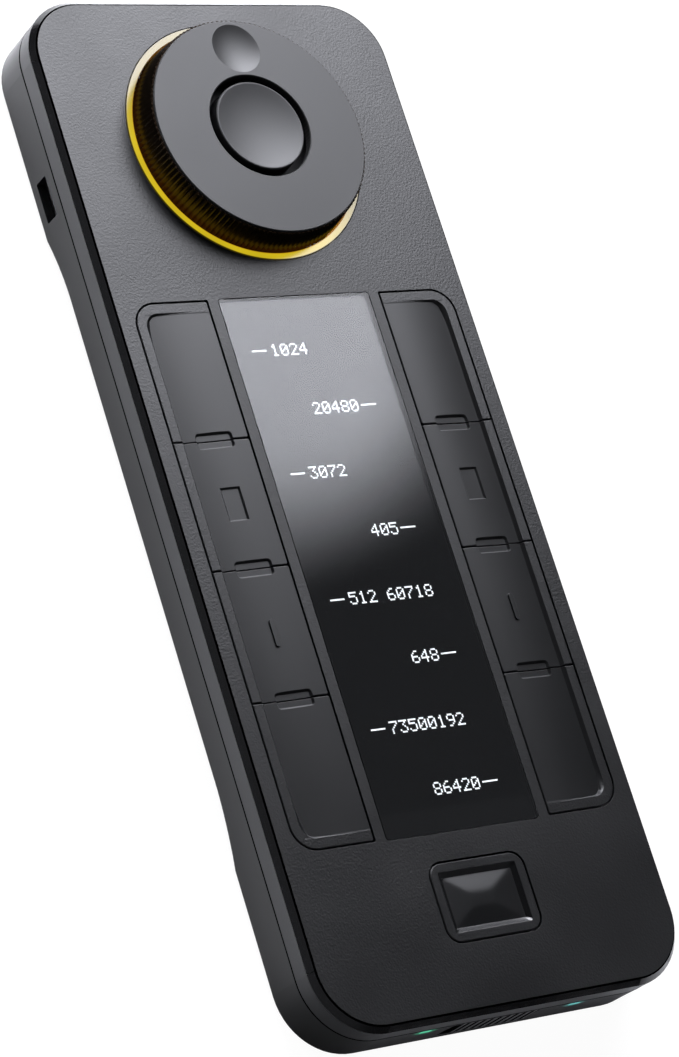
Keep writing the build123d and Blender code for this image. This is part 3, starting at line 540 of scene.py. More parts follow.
@dataclass(frozen=True)
class RibFinish(Finish):
    """The power slider's plastic: painted shade down between its ribs and a painted highlight along their
    edges.
    """

    groove_limits: Pair = (-78.06, -77.96)
    groove_shade_colour: Colour = (0.0004, 0.0004, 0.0005)
    upper_limits: Pair = (6.1, 6.6)

    def paint(self, graph: NodeGraph) -> bpy.types.NodeSocket:
        """The slider's colour, with painted shade black in the grooves."""
        return graph.blend(self.groove_share(graph), super().paint(graph), self.groove_shade_colour)

    def groove_share(self, graph: NodeGraph) -> bpy.types.NodeSocket:
        """1 down in the grooves, 0 on the ribs."""
        _, y, _ = graph.axes()
        return graph.ramp(y, self.groove_limits)

    def sheen_level(self, graph: NodeGraph) -> bpy.types.NodeSocket:
        """The slider's roughness, full in the grooves' upper ends.

        Args:
            graph: the material's node graph.

        Returns:
            The roughness's socket.
        """
        _, _, z = graph.axes()
        matt = graph.times(self.groove_share(graph), graph.ramp(z, self.upper_limits))
        return graph.math("MAXIMUM", super().sheen_level(graph), matt)


@dataclass(frozen=True)
class KeyFinish(Finish):
    """A key's plastic: grained on its raised rim, polished in its dish and on its inner side."""

    polish_outer: float = 25.8
    polish_top: float = 27.4
    polish_foot: float = -50.7
    fade: float = 0.12
    dish_share: float = 0.06

    def rim(self, graph: NodeGraph) -> bpy.types.NodeSocket:
        """1 on the raised rim round the column, 0 inside it.

        Args:
            graph: the material's node graph.

        Returns:
            The share's socket.
        """
        x, y, _ = graph.axes()
        fade = self.fade
        outer = graph.ramp(graph.math("ABSOLUTE", x), (self.polish_outer - fade, self.polish_outer + fade))
        top = graph.ramp(y, (self.polish_top - fade, self.polish_top + fade))
        foot = graph.ramp(y, (self.polish_foot + fade, self.polish_foot - fade))
        return graph.math("MAXIMUM", outer, graph.math("MAXIMUM", top, foot))

    def relief(self, graph: NodeGraph) -> bpy.types.NodeSocket:
        """Full grain on the rim and next to none in the dish."""
        share = graph.remap(self.rim(graph), 0.0, 1.0, self.dish_share, 1.0)
        return graph.times(super().relief(graph), share)


@dataclass(frozen=True)
class LitShellFinish(Finish):
    """The bottom shell's skin, with a faint painted glow round its two status lights."""

    light_x: float = 12.7
    light_z: float = 6.9
    wall_y: float = -76.0
    # The painted glow round each light: its spread, fade, level and colours.
    painted_glow_spread: Pair = (2.3, 1.4)
    painted_glow_limits: Pair = (1.0, 0.3)
    painted_glow_level: float = 0.4
    painted_glow_green: Colour = (0.05, 0.50, 0.27)
    painted_glow_cyan: Colour = (0.08, 0.40, 0.38)
    end_y: Pair = (-68.0, -76.0)
    end_roughness: float = 0.52

    def sheen_level(self, graph: NodeGraph) -> bpy.types.NodeSocket:
        """The shell's roughness, more of it towards the end wall.

        Args:
            graph: the material's node graph.

        Returns:
            The roughness's socket.
        """
        _, y, _ = graph.axes()
        share = graph.ramp(y, self.end_y)
        return graph.remap(share, 0.0, 1.0, super().sheen_level(graph), self.end_roughness)

    def extra(self, graph: NodeGraph, shader: bpy.types.Node) -> None:
        """Paints a soft glow round each light, green at -X and cyan at +X.

        Args:
            graph: the material's node graph.
            shader: its main shader.
        """
        x, y, z = graph.axes()
        across = graph.math("DIVIDE", graph.minus(graph.math("ABSOLUTE", x), self.light_x * MM),
                            self.painted_glow_spread[0] * MM)
        rise = graph.math("DIVIDE", graph.minus(z, self.light_z * MM), self.painted_glow_spread[1] * MM)
        near = graph.remap(graph.distance(across, rise), *self.painted_glow_limits, 0.0, self.painted_glow_level,
                           smooth=True)
        on_wall = graph.math("LESS_THAN", y, self.wall_y * MM)
        side = graph.math("GREATER_THAN", x, 0.0)
        graph.feed(shader.inputs["Emission Color"], graph.blend(side, self.painted_glow_green, self.painted_glow_cyan))
        graph.feed(shader.inputs["Emission Strength"], graph.times(near, on_wall))


@dataclass(frozen=True)
class RingFinish(Finish):
    """The light ring's lens: brightest where its LEDs sit, dark at its rim, deeper in hue inside."""

    lamps: int = 16
    ripple: float = 0.04
    brightest: float = math.radians(235.0)
    fade: Pair = (-0.10, 0.55)
    faint: float = 0.30
    inner_glow: Colour = (0.40, 0.155, 0.006)
    inner_limits: Pair = (18.27, 18.4)
    outer_limits: Pair = (19.12, 19.24)
    rim_level: float = 0.05

    def extra(self, graph: NodeGraph, shader: bpy.types.Node) -> None:
        """Glows, fading round the ring and at its rim.

        Args:
            graph: the material's node graph.
            shader: its main shader.
        """
        radius, angle = graph.polar(DIAL_Y)
        wave = graph.math("COSINE", graph.times(angle, float(self.lamps)))
        facing = graph.math("COSINE", graph.minus(angle, self.brightest))
        round_level = graph.remap(facing, *self.fade, self.faint, 1.0, smooth=True)
        inside = graph.ramp(radius, self.inner_limits)
        rim = graph.ramp(radius, self.outer_limits, 1.0, self.rim_level)
        level = graph.times(graph.math("MULTIPLY_ADD", wave, self.ripple, 1.0), rim, round_level)
        graph.feed(shader.inputs["Emission Color"], graph.blend(inside, self.inner_glow, self.glow))
        graph.feed(shader.inputs["Emission Strength"], graph.times(level, self.glow_strength))


@dataclass(frozen=True)
class GlassFinish(Finish):
    """A clear cover glass, its gloss faintly uneven."""

    def extra(self, graph: NodeGraph, shader: bpy.types.Node) -> None:
        """Lets light through."""
        shader.inputs["Transmission Weight"].default_value = 1.0


FINISHES: dict[str, Finish] = {f.name: f for f in (
    CoverFinish("cover_grain", (0.0025, 0.0026, 0.0028), 0.36, Grain.LEATHER, 0.27, 0.031,
                specular=ROUGH_SPECULAR, wear_and_highlight=0.15),
    LitShellFinish("shell_plastic", (0.0040, 0.0042, 0.0046), 0.33, Grain.SPARK, 0.2, 0.001,
                   specular=0.39, wear_and_highlight=0.15),
    Finish("trim_gloss", (0.0030, 0.0031, 0.0034), 0.10, Grain.SMOOTH, 0.3, 0.0006, gloss_drift=0.02),
    KeyFinish("key_plastic", (0.0022, 0.0023, 0.0025), 0.335, Grain.LEATHER, 0.25, 0.034,
              specular=ROUGH_SPECULAR, gloss_drift=0.015, wear_and_highlight=0.1, soft_edge=0.08),
    WellFinish("set_satin", (0.0026, 0.0027, 0.0030), 0.35, Grain.LEATHER, 0.25, 0.032,
               specular=ROUGH_SPECULAR, wear_and_highlight=0.15),
    Finish("set_gloss", (0.0026, 0.0027, 0.0030), 0.29, Grain.SMOOTH, 0.4, 0.0006, gloss_drift=0.02,
           soft_edge=0.0),
    CapFinish("dial_satin", (0.0030, 0.0031, 0.0034), 0.43, Grain.SPARK, 0.16, 0.0012, mottle=0.08,
              specular=ROUGH_SPECULAR, gloss_drift=0.012, wear_and_highlight=0.15),
    # Warm colour and amber gloss tint: partly a painted reflection of the ring's glow, which also lights the
    # teeth for real.
    KnurlFinish("knurl_plastic", (0.0050, 0.0036, 0.0026), 0.22, Grain.SPARK, 0.12, 0.0006,
                specular_tint=(1.0, 0.62, 0.36), soft_edge=0.0),
    Finish("middle_satin", (0.0060, 0.0061, 0.0066), 0.455, Grain.SPARK, 0.16, 0.0012, mottle=0.08,
           specular=ROUGH_SPECULAR, gloss_drift=0.012),
    Finish("inner_plastic", (0.016, 0.016, 0.017), 0.5, Grain.SPARK, 0.25, 0.004),
    # Painted shade for the parts down in the dial's gaps.
    Finish("well_black", (0.0012, 0.0012, 0.0013), 0.6, Grain.SPARK, 0.2, 0.003, specular=0.2),
    Finish("joint_black", (0.0002, 0.0002, 0.0002), 1.0, Grain.SMOOTH, 0.2, 0.0, specular=0.0,
           gloss_drift=0.0, soft_edge=0.0),
    Finish("spring_steel", (0.55, 0.54, 0.52), 0.28, Grain.BRUSHED, 0.1, 0.001, metallic=1.0),
    Finish("magnet", (0.09, 0.088, 0.085), 0.45, Grain.SPARK, 0.2, 0.006, metallic=1.0),
    Finish("chip_black", (0.012, 0.012, 0.012), 0.42, Grain.SPARK, 0.1, 0.003),
    RingFinish("ring_light", (0.05, 0.038, 0.006), 0.22, Grain.SMOOTH, 0.5, 0.0006, gloss_drift=0.02,
               specular=0.65, glow=(0.60, 0.445, 0.012)),
    Finish("led_white", (0.75, 0.72, 0.6), 0.3, Grain.SMOOTH, 0.2, 0.001),
    GlassFinish("display_glass", (0.96, 0.965, 0.97), 0.02, Grain.SMOOTH, 4.0, 0.0, mottle=0.01,
                gloss_drift=0.004, ior=1.33, soft_edge=0.0),
    Finish("display_panel", (0.0010, 0.0010, 0.0011), 0.5, Grain.BRUSHED, 0.3, 0.0002, specular=0.0,
           glow=(0.0125, 0.0130, 0.0142), soft_edge=0.0),
    Finish("flex_amber", (0.42, 0.16, 0.02), 0.3, Grain.BRUSHED, 0.4, 0.004),
    Finish("connector_white", (0.62, 0.59, 0.5), 0.45, Grain.SPARK, 0.2, 0.003),
    Finish("board_green", (0.012, 0.07, 0.03), 0.3, Grain.BRUSHED, 0.5, 0.01, coat=0.4),
    Finish("switch_body", (0.02, 0.02, 0.021), 0.4, Grain.SPARK, 0.15, 0.003),
    Finish("plunger_plastic", (0.55, 0.54, 0.5), 0.4, Grain.SPARK, 0.2, 0.003),
    Finish("shield_steel", (0.5, 0.5, 0.5), 0.32, Grain.BRUSHED, 0.1, 0.002, metallic=1.0),
    Finish("socket_steel", (0.5, 0.5, 0.51), 0.3, Grain.BRUSHED, 0.08, 0.001, metallic=1.0),
    # Painted shade in the grooves, and a strong painted highlight along the ribs' edges.
    RibFinish("slider_plastic", (0.0060, 0.0061, 0.0067), 0.28, Grain.SPARK, 0.2, 0.001, wear_and_highlight=0.8,
              soft_edge=0.03),
    Finish("light_green", (0.008, 0.05, 0.025), 0.25, Grain.SMOOTH, 0.3, 0.001,
           glow=(0.055, 0.50, 0.275)),
    Finish("light_cyan", (0.010, 0.045, 0.045), 0.25, Grain.SMOOTH, 0.3, 0.001,
           glow=(0.085, 0.40, 0.385)),
    Finish("battery_foil", (0.5, 0.5, 0.52), 0.35, Grain.BRUSHED, 0.6, 0.02, metallic=1.0),
    Finish("adhesive_foam", (0.03, 0.03, 0.03), 0.8, Grain.SPARK, 0.4, 0.05),
    Finish("lead_rubber", (0.25, 0.01, 0.01), 0.45, Grain.SPARK, 0.2, 0.003),
    Finish("foot_rubber", (0.010, 0.010, 0.011), 0.6, Grain.SPARK, 0.35, 0.02, wear_and_highlight=0.3),
    Finish("screw_steel", (0.10, 0.10, 0.105), 0.35, Grain.BRUSHED, 0.08, 0.003, metallic=1.0),
    Finish("display_lit", (0.6, 0.62, 0.64), 0.4, Grain.SMOOTH, 0.2, 0.0005, glow=(0.74, 0.77, 0.79),
           soft_edge=0.0),
)}


class Palette:
    """Builds each finish's material once."""

    def __init__(self) -> None:
        """Starts with nothing built."""
        self.built: dict[str, bpy.types.Material] = {}

    def get(self, name: str) -> bpy.types.Material:
        """The material of a finish.

        Args:
            name: the finish's name.

        Returns:
            The material, which is built the first time.
        """
        if name not in self.built:
            self.built[name] = FINISHES[name].build()
        return self.built[name]


# ---------------------------------------------------------------------------------------------
# Making pieces
# ---------------------------------------------------------------------------------------------


def place_new(name: str, data: bpy.types.ID) -> bpy.types.Object:
    """Puts new data into the scene.

    Args:
        name: the object's name.
        data: its mesh, lamp or camera.

    Returns:
        The new object, at the origin.
    """
    made = bpy.data.objects.new(name, data)
    bpy.context.scene.collection.objects.link(made)
    return made


def make_object(mesh: bmesh.types.BMesh, name: str, material: bpy.types.Material) -> bpy.types.Object:
    """Makes an object of one material.

    Args:
        mesh: the mesh in metres; it is freed.
        name: the object's name.
        material: its material.

    Returns:
        The new object.
    """
    data = bpy.data.meshes.new(name)
    mesh.to_mesh(data)
    mesh.free()
    data.materials.append(material)
    return place_new(name, data)


@dataclass
class Workshop:
    """Finishes the part's own nodes and turns new meshes into pieces that ride on its bodies."""

    palette: Palette
    made: int = 0
    finished: set[str] = field(default_factory=set)

    def finish(self, node: str, finish: str | None = None) -> None:
        """Gives a node whose shape is right its material.

        Args:
            node: the node's name.
            finish: the finish's name, or None for the one named like the node's own slot.
        """
        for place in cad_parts[node].material_slots:
            place.material = self.palette.get(finish or place.material.name.split(".")[0])
        self.finished.add(node)
        log.info("%-24s keeps its shape, finished", node)

    def publish(self, mesh: bmesh.types.BMesh, name: str, body: str, slot: str,
                stands_for: Sequence[str] = (), finish: str | None = None,
                smooth: bool = True) -> bpy.types.Object:
        """Makes one piece of a mesh and joins it to its body.

        Args:
            mesh: the mesh in metres; it is freed.
            name: the piece's name.
            body: the body it rides on.
            slot: the record's material slot.
            stands_for: the nodes that it replaces.
            finish: the finish, if it isn't named like the slot.
            smooth: whether its gentle edges are shaded smooth.

        Returns:
            The new object.
        """
        mesh.normal_update()
        for edge in mesh.edges:
            edge.smooth = len(edge.link_faces) == 2 and edge.calc_face_angle(0.0) < SHARP
        for face in mesh.faces:
            face.smooth = smooth
        piece = make_object(mesh, name, self.palette.get(finish or slot))
        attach(piece, body)
        if stands_for:
            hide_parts(*stands_for)
            self.finished.update(stands_for)
        self.made += 1
        log.info("%-24s on %-16s %6d faces", name, body, len(piece.data.polygons))
        return piece


# ---------------------------------------------------------------------------------------------
# Sub-assemblies
# ---------------------------------------------------------------------------------------------


@dataclass
class Housing:
    """The top cover, its bevelled trim, the bottom shell, the feet and the closing screws."""

    shop: Workshop
    nodes: tuple[str, ...] = ("top_cover", "bottom_shell", "edge_trim", "feet", "cover_screws")

    def build(self) -> None:
        """Finishes the shells and what is screwed or glued to them."""
        for node in self.nodes:
            self.shop.finish(node)


@dataclass
class Hairlines:
    """The two fine dark joints round the housing: between its shells, and inside its bevel.

    Each is a thin closed band. Its section is a list of points: how far in from the widest outline,
    and how high.
    """

    shop: Workshop
    corner: float = 9.71
    steps: int = 16
    seam: tuple[Pair, ...] = ((0.038, 7.95), (0.042, 7.67), (0.12, 7.67), (0.12, 7.95))
    rim: tuple[Pair, ...] = ((0.96, 12.005), (0.845, 12.005), (0.70, 11.822), (0.75, 11.77), (0.96, 11.95))

    def build(self) -> None:
        """Makes both bands."""
        self.band("seam_line", self.seam)
        self.band("rim_line", self.rim)

    def band(self, name: str, section: Sequence[Pair]) -> None:
        """Makes one band: its section spins round each corner and is drawn along each side.

        Args:
            name: the piece's name.
            section: its section's points in order.
        """
        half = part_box("edge_trim")[1] / MM
        middle = Vector((half.x - self.corner, half.y - self.corner, 0.0)) * MM
        mesh = bmesh.new()
        points = [mesh.verts.new(((half.x - inset) * MM, middle.y, z * MM)) for inset, z in section]
        edges = [mesh.edges.new(pair) for pair in zip(points, points[1:] + points[:1])]
        for side_x, side_y in ((1, 1), (-1, 1), (-1, -1), (1, -1)):
            centre = Vector((side_x * middle.x, side_y * middle.y, 0.0))
            spun = bmesh.ops.spin(mesh, geom=points + edges, cent=centre, axis=(0, 0, 1),
                                  angle=math.pi / 2, steps=self.steps)["geom_last"]
            edges = [part for part in spun if isinstance(part, bmesh.types.BMEdge)]
            drawn = bmesh.ops.extrude_edge_only(mesh, edges=edges)["geom"]
            points = [part for part in drawn if isinstance(part, bmesh.types.BMVert)]
            edges = [part for part in drawn if isinstance(part, bmesh.types.BMEdge)
                     and all(end in points for end in part.verts)]
            following = Vector((-side_y * middle.x, side_x * middle.y, 0.0))
            bmesh.ops.translate(mesh, vec=following - centre, verts=points)
        bmesh.ops.remove_doubles(mesh, verts=mesh.verts[:], dist=WELD * MM)
        bmesh.ops.recalc_face_normals(mesh, faces=mesh.faces[:])
        self.shop.publish(mesh, name, "housing", "shell_plastic", finish="joint_black")


@dataclass
class Dial:
    """The dial's cap and knurled skirt, the button in its middle and the light ring round it."""

    shop: Workshop
    nodes: tuple[str, ...] = ("dial_cap", "dial_skirt", "dial_button", "light_ring")
    # Parts down in the gaps, painted black as painted shade.
    gap_shade_nodes: tuple[str, ...] = ("dial_post", "dial_clip", "ring_leds")

    def build(self) -> None:
        """Finishes what shows, and paints what lies down in the gaps between black, as painted shade."""
        for node in self.nodes:
            self.shop.finish(node)
        for node in self.gap_shade_nodes:
            self.shop.finish(node, "well_black")


@dataclass
class KeyColumns:
    """The two columns of four dished keys."""

    shop: Workshop
    rows: int = 4

    def build(self) -> None:
        """Finishes the eight keys."""
        for side in ("left", "right"):
            for row in range(1, self.rows + 1):
                self.shop.finish(f"{side}_key_{row}")


DIGITS: dict[str, tuple[str, ...]] = {
    "0": ("01110", "10001", "10011", "10101", "11001", "10001", "01110"),
    "1": ("00100", "01100", "00100", "00100", "00100", "00100", "01110"),
    "2": ("01110", "10001", "00001", "00010", "00100", "01000", "11111"),
    "3": ("11111", "00010", "00100", "00010", "00001", "10001", "01110"),
    "4": ("00010", "00110", "01010", "10010", "11111", "00010", "00010"),
    "5": ("11111", "10000", "11110", "00001", "00001", "10001", "01110"),
    "6": ("00110", "01000", "10000", "11110", "10001", "10001", "01110"),
    "7": ("11111", "00001", "00010", "00100", "01000", "01000", "01000"),
    "8": ("01110", "10001", "10001", "01110", "10001", "10001", "01110"),
    "9": ("01110", "10001", "10001", "01111", "00001", "00010", "01100"),
}


class DashSide(Enum):
    """The end of a line of figures that points at its key."""

    LEFT = -1
    RIGHT = 1


@dataclass(frozen=True)
class DisplayLine:
    """One line of lit figures with the dash that points at its key."""

    figures: str
    middle_y: float
    side: DashSide


@dataclass
class Display:
    """The cover glass, the dark print at its back, the lit figures on the print and the panel below.

    A figure takes 5 by 7 pixels. The next one starts figure_step pixels on, and half_rows of its rows
    lie above its middle one.
    """

    shop: Workshop
    pixel: float = 0.27
    lit: float = 0.245
    figure_step: int = 6
    half_rows: int = 3
    start_left: float = -6.4
    end_right: float = 5.4
    dash_left: Pair = (-9.6, -7.2)
    dash_right: Pair = (5.9, 8.5)
    ink_thickness: float = 0.03
    ink_gap: float = 0.03
    ink_inset: float = 0.03
    glass_corner: float = 0.45
    corner_segments: int = 6
    mark_height: float = 0.015
    lines: tuple[DisplayLine, ...] = (
        DisplayLine("1024", 21.2, DashSide.LEFT),
        DisplayLine("20480", 11.8, DashSide.RIGHT),
        DisplayLine("3072", 2.0, DashSide.LEFT),
        DisplayLine("405", -7.5, DashSide.RIGHT),
        DisplayLine("512 60718", -17.3, DashSide.LEFT),
        DisplayLine("648", -26.9, DashSide.RIGHT),
        DisplayLine("73500192", -36.7, DashSide.LEFT),
        DisplayLine("86420", -46.2, DashSide.RIGHT),
    )

    def build(self) -> None:
        """Makes the glass, the print and the figures, and finishes the panel below."""
        low, high = (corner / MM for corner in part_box("display_glass"))
        back = low.z + self.ink_thickness
        clear = back + self.ink_gap
        self.plate("display_cover", "display_glass", (low.x, low.y, clear), tuple(high), ("display_glass",))
        inset = self.ink_inset
        self.plate("display_ink", "display_panel", (low.x + inset, low.y + inset, low.z),
                   (high.x - inset, high.y - inset, back))
        self.figures(back)
        self.shop.finish("display_panel")

    def plate(self, name: str, slot: str, low: Triple, high: Triple, stands_for: Sequence[str] = ()) -> None:
        """Makes one flat plate with rounded corners.

        Args:
            name: the piece's name.
            slot: its material slot.
            low: the plate's low corner in millimetres.
            high: its high corner.
            stands_for: the nodes that it replaces.
        """
        start, end = Vector(low) * MM, Vector(high) * MM
        mesh = bmesh.new()
        bmesh.ops.create_cube(mesh, size=1.0)
        bmesh.ops.scale(mesh, vec=end - start, verts=mesh.verts[:])
        bmesh.ops.translate(mesh, vec=(start + end) / 2, verts=mesh.verts[:])
        upright = [e for e in mesh.edges if abs(e.verts[0].co.z - e.verts[1].co.z) > 0.5 * (end - start).z]
        bmesh.ops.bevel(mesh, geom=upright, offset=self.glass_corner * MM, offset_type="OFFSET",
                        segments=self.corner_segments, profile=0.5, affect="EDGES", material=-1)
        bmesh.ops.recalc_face_normals(mesh, faces=mesh.faces[:])
        self.shop.publish(mesh, name, "housing", slot, stands_for, smooth=False)

    def spot(self, mesh: bmesh.types.BMesh, x: float, y: float, width: float, length: float) -> None:
        """Adds one lit rectangle, centred at x, y."""
        place = Matrix.Translation(Vector((x, y, 0.0)) * MM)
        bmesh.ops.create_grid(mesh, x_segments=1, y_segments=1, size=0.5,
                              matrix=place @ Matrix.Diagonal((width * MM, length * MM, 1.0, 1.0)))

    def line(self, mesh: bmesh.types.BMesh, line: DisplayLine) -> None:
        """Adds one line's figures and its dash; a space stays empty.

        Args:
            mesh: the mesh of all lines.
            line: what it says, and where.
        """
        step = self.figure_step * self.pixel
        width = len(line.figures) * step - self.pixel
        left = self.start_left if line.side is DashSide.LEFT else self.end_right - width
        top = line.middle_y + self.half_rows * self.pixel
        for place, figure in enumerate(line.figures):
            for row, bits in enumerate(DIGITS.get(figure, ())):
                for column, bit in enumerate(bits):
                    if bit == "1":
                        self.spot(mesh, left + place * step + (column + 0.5) * self.pixel,
                                  top - row * self.pixel, self.lit, self.lit)
        start, end = self.dash_left if line.side is DashSide.LEFT else self.dash_right
        self.spot(mesh, (start + end) / 2, line.middle_y, end - start, self.lit)

    def figures(self, level: float) -> None:
        """Makes all eight lines as one thin layer.

        Args:
            level: the height that the layer stands on, in millimetres.
        """
        mesh = bmesh.new()
        for line in self.lines:
            self.line(mesh, line)
        bmesh.ops.translate(mesh, vec=(0, 0, level * MM), verts=mesh.verts[:])
        grown = bmesh.ops.extrude_face_region(mesh, geom=mesh.faces[:])
        risen = [g for g in grown["geom"] if isinstance(g, bmesh.types.BMVert)]
        bmesh.ops.translate(mesh, vec=(0, 0, self.mark_height * MM), verts=risen)
        bmesh.ops.recalc_face_normals(mesh, faces=mesh.faces[:])
        self.shop.publish(mesh, "display_figures", "housing", "display_panel", finish="display_lit")


@dataclass
class LowerButton:
    """The button below the display and the glossy pillow in its well.

    The pillow is the soft lower envelope of four slopes, one from each side of the well, and of a
    flat middle. Slopes are rise over run.
    """

    shop: Workshop
    slopes_x: Pair = (0.095, 0.080)
    slopes_y: Pair = (0.135, 0.125)
    middle_rise: float = 0.335
    least_rise: float = 0.004
    softness: float = 0.028
    columns: int = 96
    rows: int = 64

    def build(self) -> None:
        """Finishes the button's frame and makes the pillow."""
        self.shop.finish("set_button")
        low, high = (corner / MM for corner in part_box("set_pad"))
        size = high - low
        middle = (low + high) / 2
        mesh = bmesh.new()
        bmesh.ops.create_grid(mesh, x_segments=self.columns, y_segments=self.rows, size=0.5,
                              matrix=Matrix.Diagonal((size.x, size.y, 1.0, 1.0)))
        for vert in mesh.verts:
            vert.co.z = self.rise(vert.co.x, vert.co.y, size)
        bmesh.ops.translate(mesh, vec=(middle.x, middle.y, low.z), verts=mesh.verts[:])
        bmesh.ops.scale(mesh, vec=(MM, MM, MM), verts=mesh.verts[:])
        border = [e for e in mesh.edges if len(e.link_faces) == 1]
        grown = bmesh.ops.extrude_edge_only(mesh, edges=border)["geom"]
        for part in grown:
            if isinstance(part, bmesh.types.BMVert):
                part.co.z = low.z * MM
        foot = [e for e in mesh.edges if len(e.link_faces) == 1]
        bmesh.ops.contextual_create(mesh, geom=foot)
        bmesh.ops.recalc_face_normals(mesh, faces=mesh.faces[:])
        self.shop.publish(mesh, "set_pad_pillow", "lower_button", "set_gloss", ("set_pad",))

    def rise(self, x: float, y: float, size: Vector) -> float:
        """The pillow's height over its foot, in millimetres.

        Args:
            x: how far across from its middle.
            y: how far along from its middle.
            size: its width and length.

        Returns:
            The height.
        """
        heights = (self.slopes_x[0] * (size.x / 2 + x), self.slopes_x[1] * (size.x / 2 - x),
                   self.slopes_y[0] * (size.y / 2 + y), self.slopes_y[1] * (size.y / 2 - y),
                   self.middle_rise)
        total = sum(math.exp(-height / self.softness) for height in heights)
        return max(self.least_rise, -self.softness * math.log(total))


@dataclass
class PowerEnd:
    """The ribbed slider and the two status lights in the end wall."""

    shop: Workshop

    def build(self) -> None:
        """Finishes the slider and the light pipes."""
        self.shop.finish("power_slider")
        self.shop.finish("status_pipe_left", "light_green")
        self.shop.finish("status_pipe_right", "light_cyan")


@dataclass
class Internals:
    """Everything inside, which keeps its shape."""

    shop: Workshop

    def build(self) -> None:
        """Finishes every node that no other sub-assembly has finished."""
        for name in sorted(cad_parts):
            if name not in self.shop.finished:
                self.shop.finish(name)


# ---------------------------------------------------------------------------------------------
# Studio
# ---------------------------------------------------------------------------------------------


@dataclass
class Studio:
    """A pale floor, a large soft box, a dim wall far off, a fill lamp, the sky and the camera.

    The soft box has four soft edges: the near one, whose slope is along over across, the far one, and
    two slanted sides, whose slopes are across over along. From the near edge its level grows by the
    metre. Each paper is its shade and its glow. The camera's clip is in metres.
    """

    lens: float = 125.12
    sensor: float = 36.0
    clip: Pair = (0.01, 20.0)
    eye: Triple = (-295.33, -159.12, 408.09)
    right: Triple = (0.82151, -0.28855, 0.49180)
    up: Triple = (0.07676, 0.91062, 0.40605)
    back: Triple = (-0.56501, -0.29582, 0.77023)
    sky: float = 0.05
    tint: Colour = (0.972, 0.985, 1.062)
    box_height: float = 512.0
    box_level: float = 7.67
    box_x: Pair = (-300.0, 1250.0)
    box_y: Pair = (90.0, 1620.0)
    near_edge: Pair = (-25.0, 31.7)
    near_at: Pair = (372.5, 193.5)
    near_slope: float = 0.2245
    growth: float = 2.16
    left_edge: Pair = (-5.5, 294.4)
    left_slope: float = -1.1935
    right_edge: Pair = (427.9, 495.9)
    right_slope: float = 0.6608
    slopes_from: float = 300.0
    far_edge: Pair = (1266.0, 1618.8)
    floor_reach: Pair = (-4000.0, 4000.0)
    floor_paper: Pair = (0.75, 0.2)
    floor_white: Pair = (0.07, 0.965)
    floor_limits: Pair = (150.0, 330.0)
    floor_dark: Colour = (0.04, 0.04, 0.042)
    # The painted shadow on the floor's paper, near the end wall and at its left corner.
    shadow_front_limits: Pair = (-70.0, -78.0)
    shadow_front_end: Pair = (-79.6, -81.0)
    shadow_front_share: float = 0.5
    shadow_corner_at: Pair = (-34.0, -84.0)
    shadow_corner_limits: Pair = (24.0, 8.0)
    shadow_corner_share: float = 0.75
    skyline_level: float = 0.22
    skyline_radius: float = 4000.0
    skyline_rise: Pair = (300.0, 1300.0)
    skyline_fade: Pair = (1700.0, 3400.0)
    skyline_sides: int = 48
    fill_at: Triple = (-550.0, 550.0, 420.0)
    fill_size: float = 350.0
    fill_power: float = 5.0

    def build(self) -> None:
        """Sets up everything that isn't the object."""
        self.camera()
        self.world()
        self.floor()
        self.soft_box()
        self.skyline()
        self.fill()
        bpy.context.scene.view_settings.view_transform = "Standard"

    def camera(self) -> None:
        """The camera, set by its axes."""
        data = bpy.data.cameras.new("camera")
        data.lens, data.sensor_width, data.sensor_fit = self.lens, self.sensor, "AUTO"
        data.clip_start, data.clip_end = self.clip
        camera = place_new("camera", data)
        turn = Matrix((self.right, self.up, self.back)).transposed().to_4x4()
        camera.matrix_world = Matrix.Translation(Vector(self.eye) * MM) @ turn
        bpy.context.scene.camera = camera

    def world(self) -> None:
        """A dim sky that the camera sees as white."""
        world = bpy.data.worlds.new("studio_sky")
        world.use_nodes = True
        bpy.context.scene.world = world
        graph = NodeGraph(world.node_tree)
        seen = graph.node("ShaderNodeLightPath").outputs["Is Camera Ray"]
        colour = graph.blend(seen, tuple(self.sky * c for c in self.tint), WHITE)
        shade = graph.node("ShaderNodeBackground", {"Color": colour, "Strength": 1.0})
        graph.node("ShaderNodeOutputWorld", {"Surface": shade.outputs[0]})

    def sheet(self, name: str, x: Pair, y: Pair, z: float, material: bpy.types.Material) -> bpy.types.Object:
        """Makes a flat rectangle that belongs to the stage.

        Args:
            name: its name.
            x: its limits across, in millimetres.
            y: its limits along.
            z: its height.
            material: its material.

        Returns:
            The new object.
        """
        mesh = bmesh.new()
        middle = Vector(((x[0] + x[1]) / 2, (y[0] + y[1]) / 2, z)) * MM
        size = Matrix.Diagonal(((x[1] - x[0]) * MM, (y[1] - y[0]) * MM, 1.0, 1.0))
        bmesh.ops.create_grid(mesh, x_segments=1, y_segments=1, size=0.5,
                              matrix=Matrix.Translation(middle) @ size)
        made = make_object(mesh, name, material)
        return made

    def paper(self, graph: NodeGraph, shade: float, glow: float, colour: Colour) -> bpy.types.NodeSocket:
        """A matt white that also glows by itself.

        Args:
            graph: the material's node graph.
            shade: how white it is under light.
            glow: how much it glows.
            colour: the glow's colour.

        Returns:
            The surface's socket.
        """
        matt = graph.node("ShaderNodeBsdfDiffuse", {"Color": (shade, shade, shade, 1.0)}).outputs[0]
        lit = graph.node("ShaderNodeEmission", {"Color": (*colour, 1.0), "Strength": glow}).outputs[0]
        return graph.node("ShaderNodeAddShader", {0: matt, 1: lit}).outputs[0]

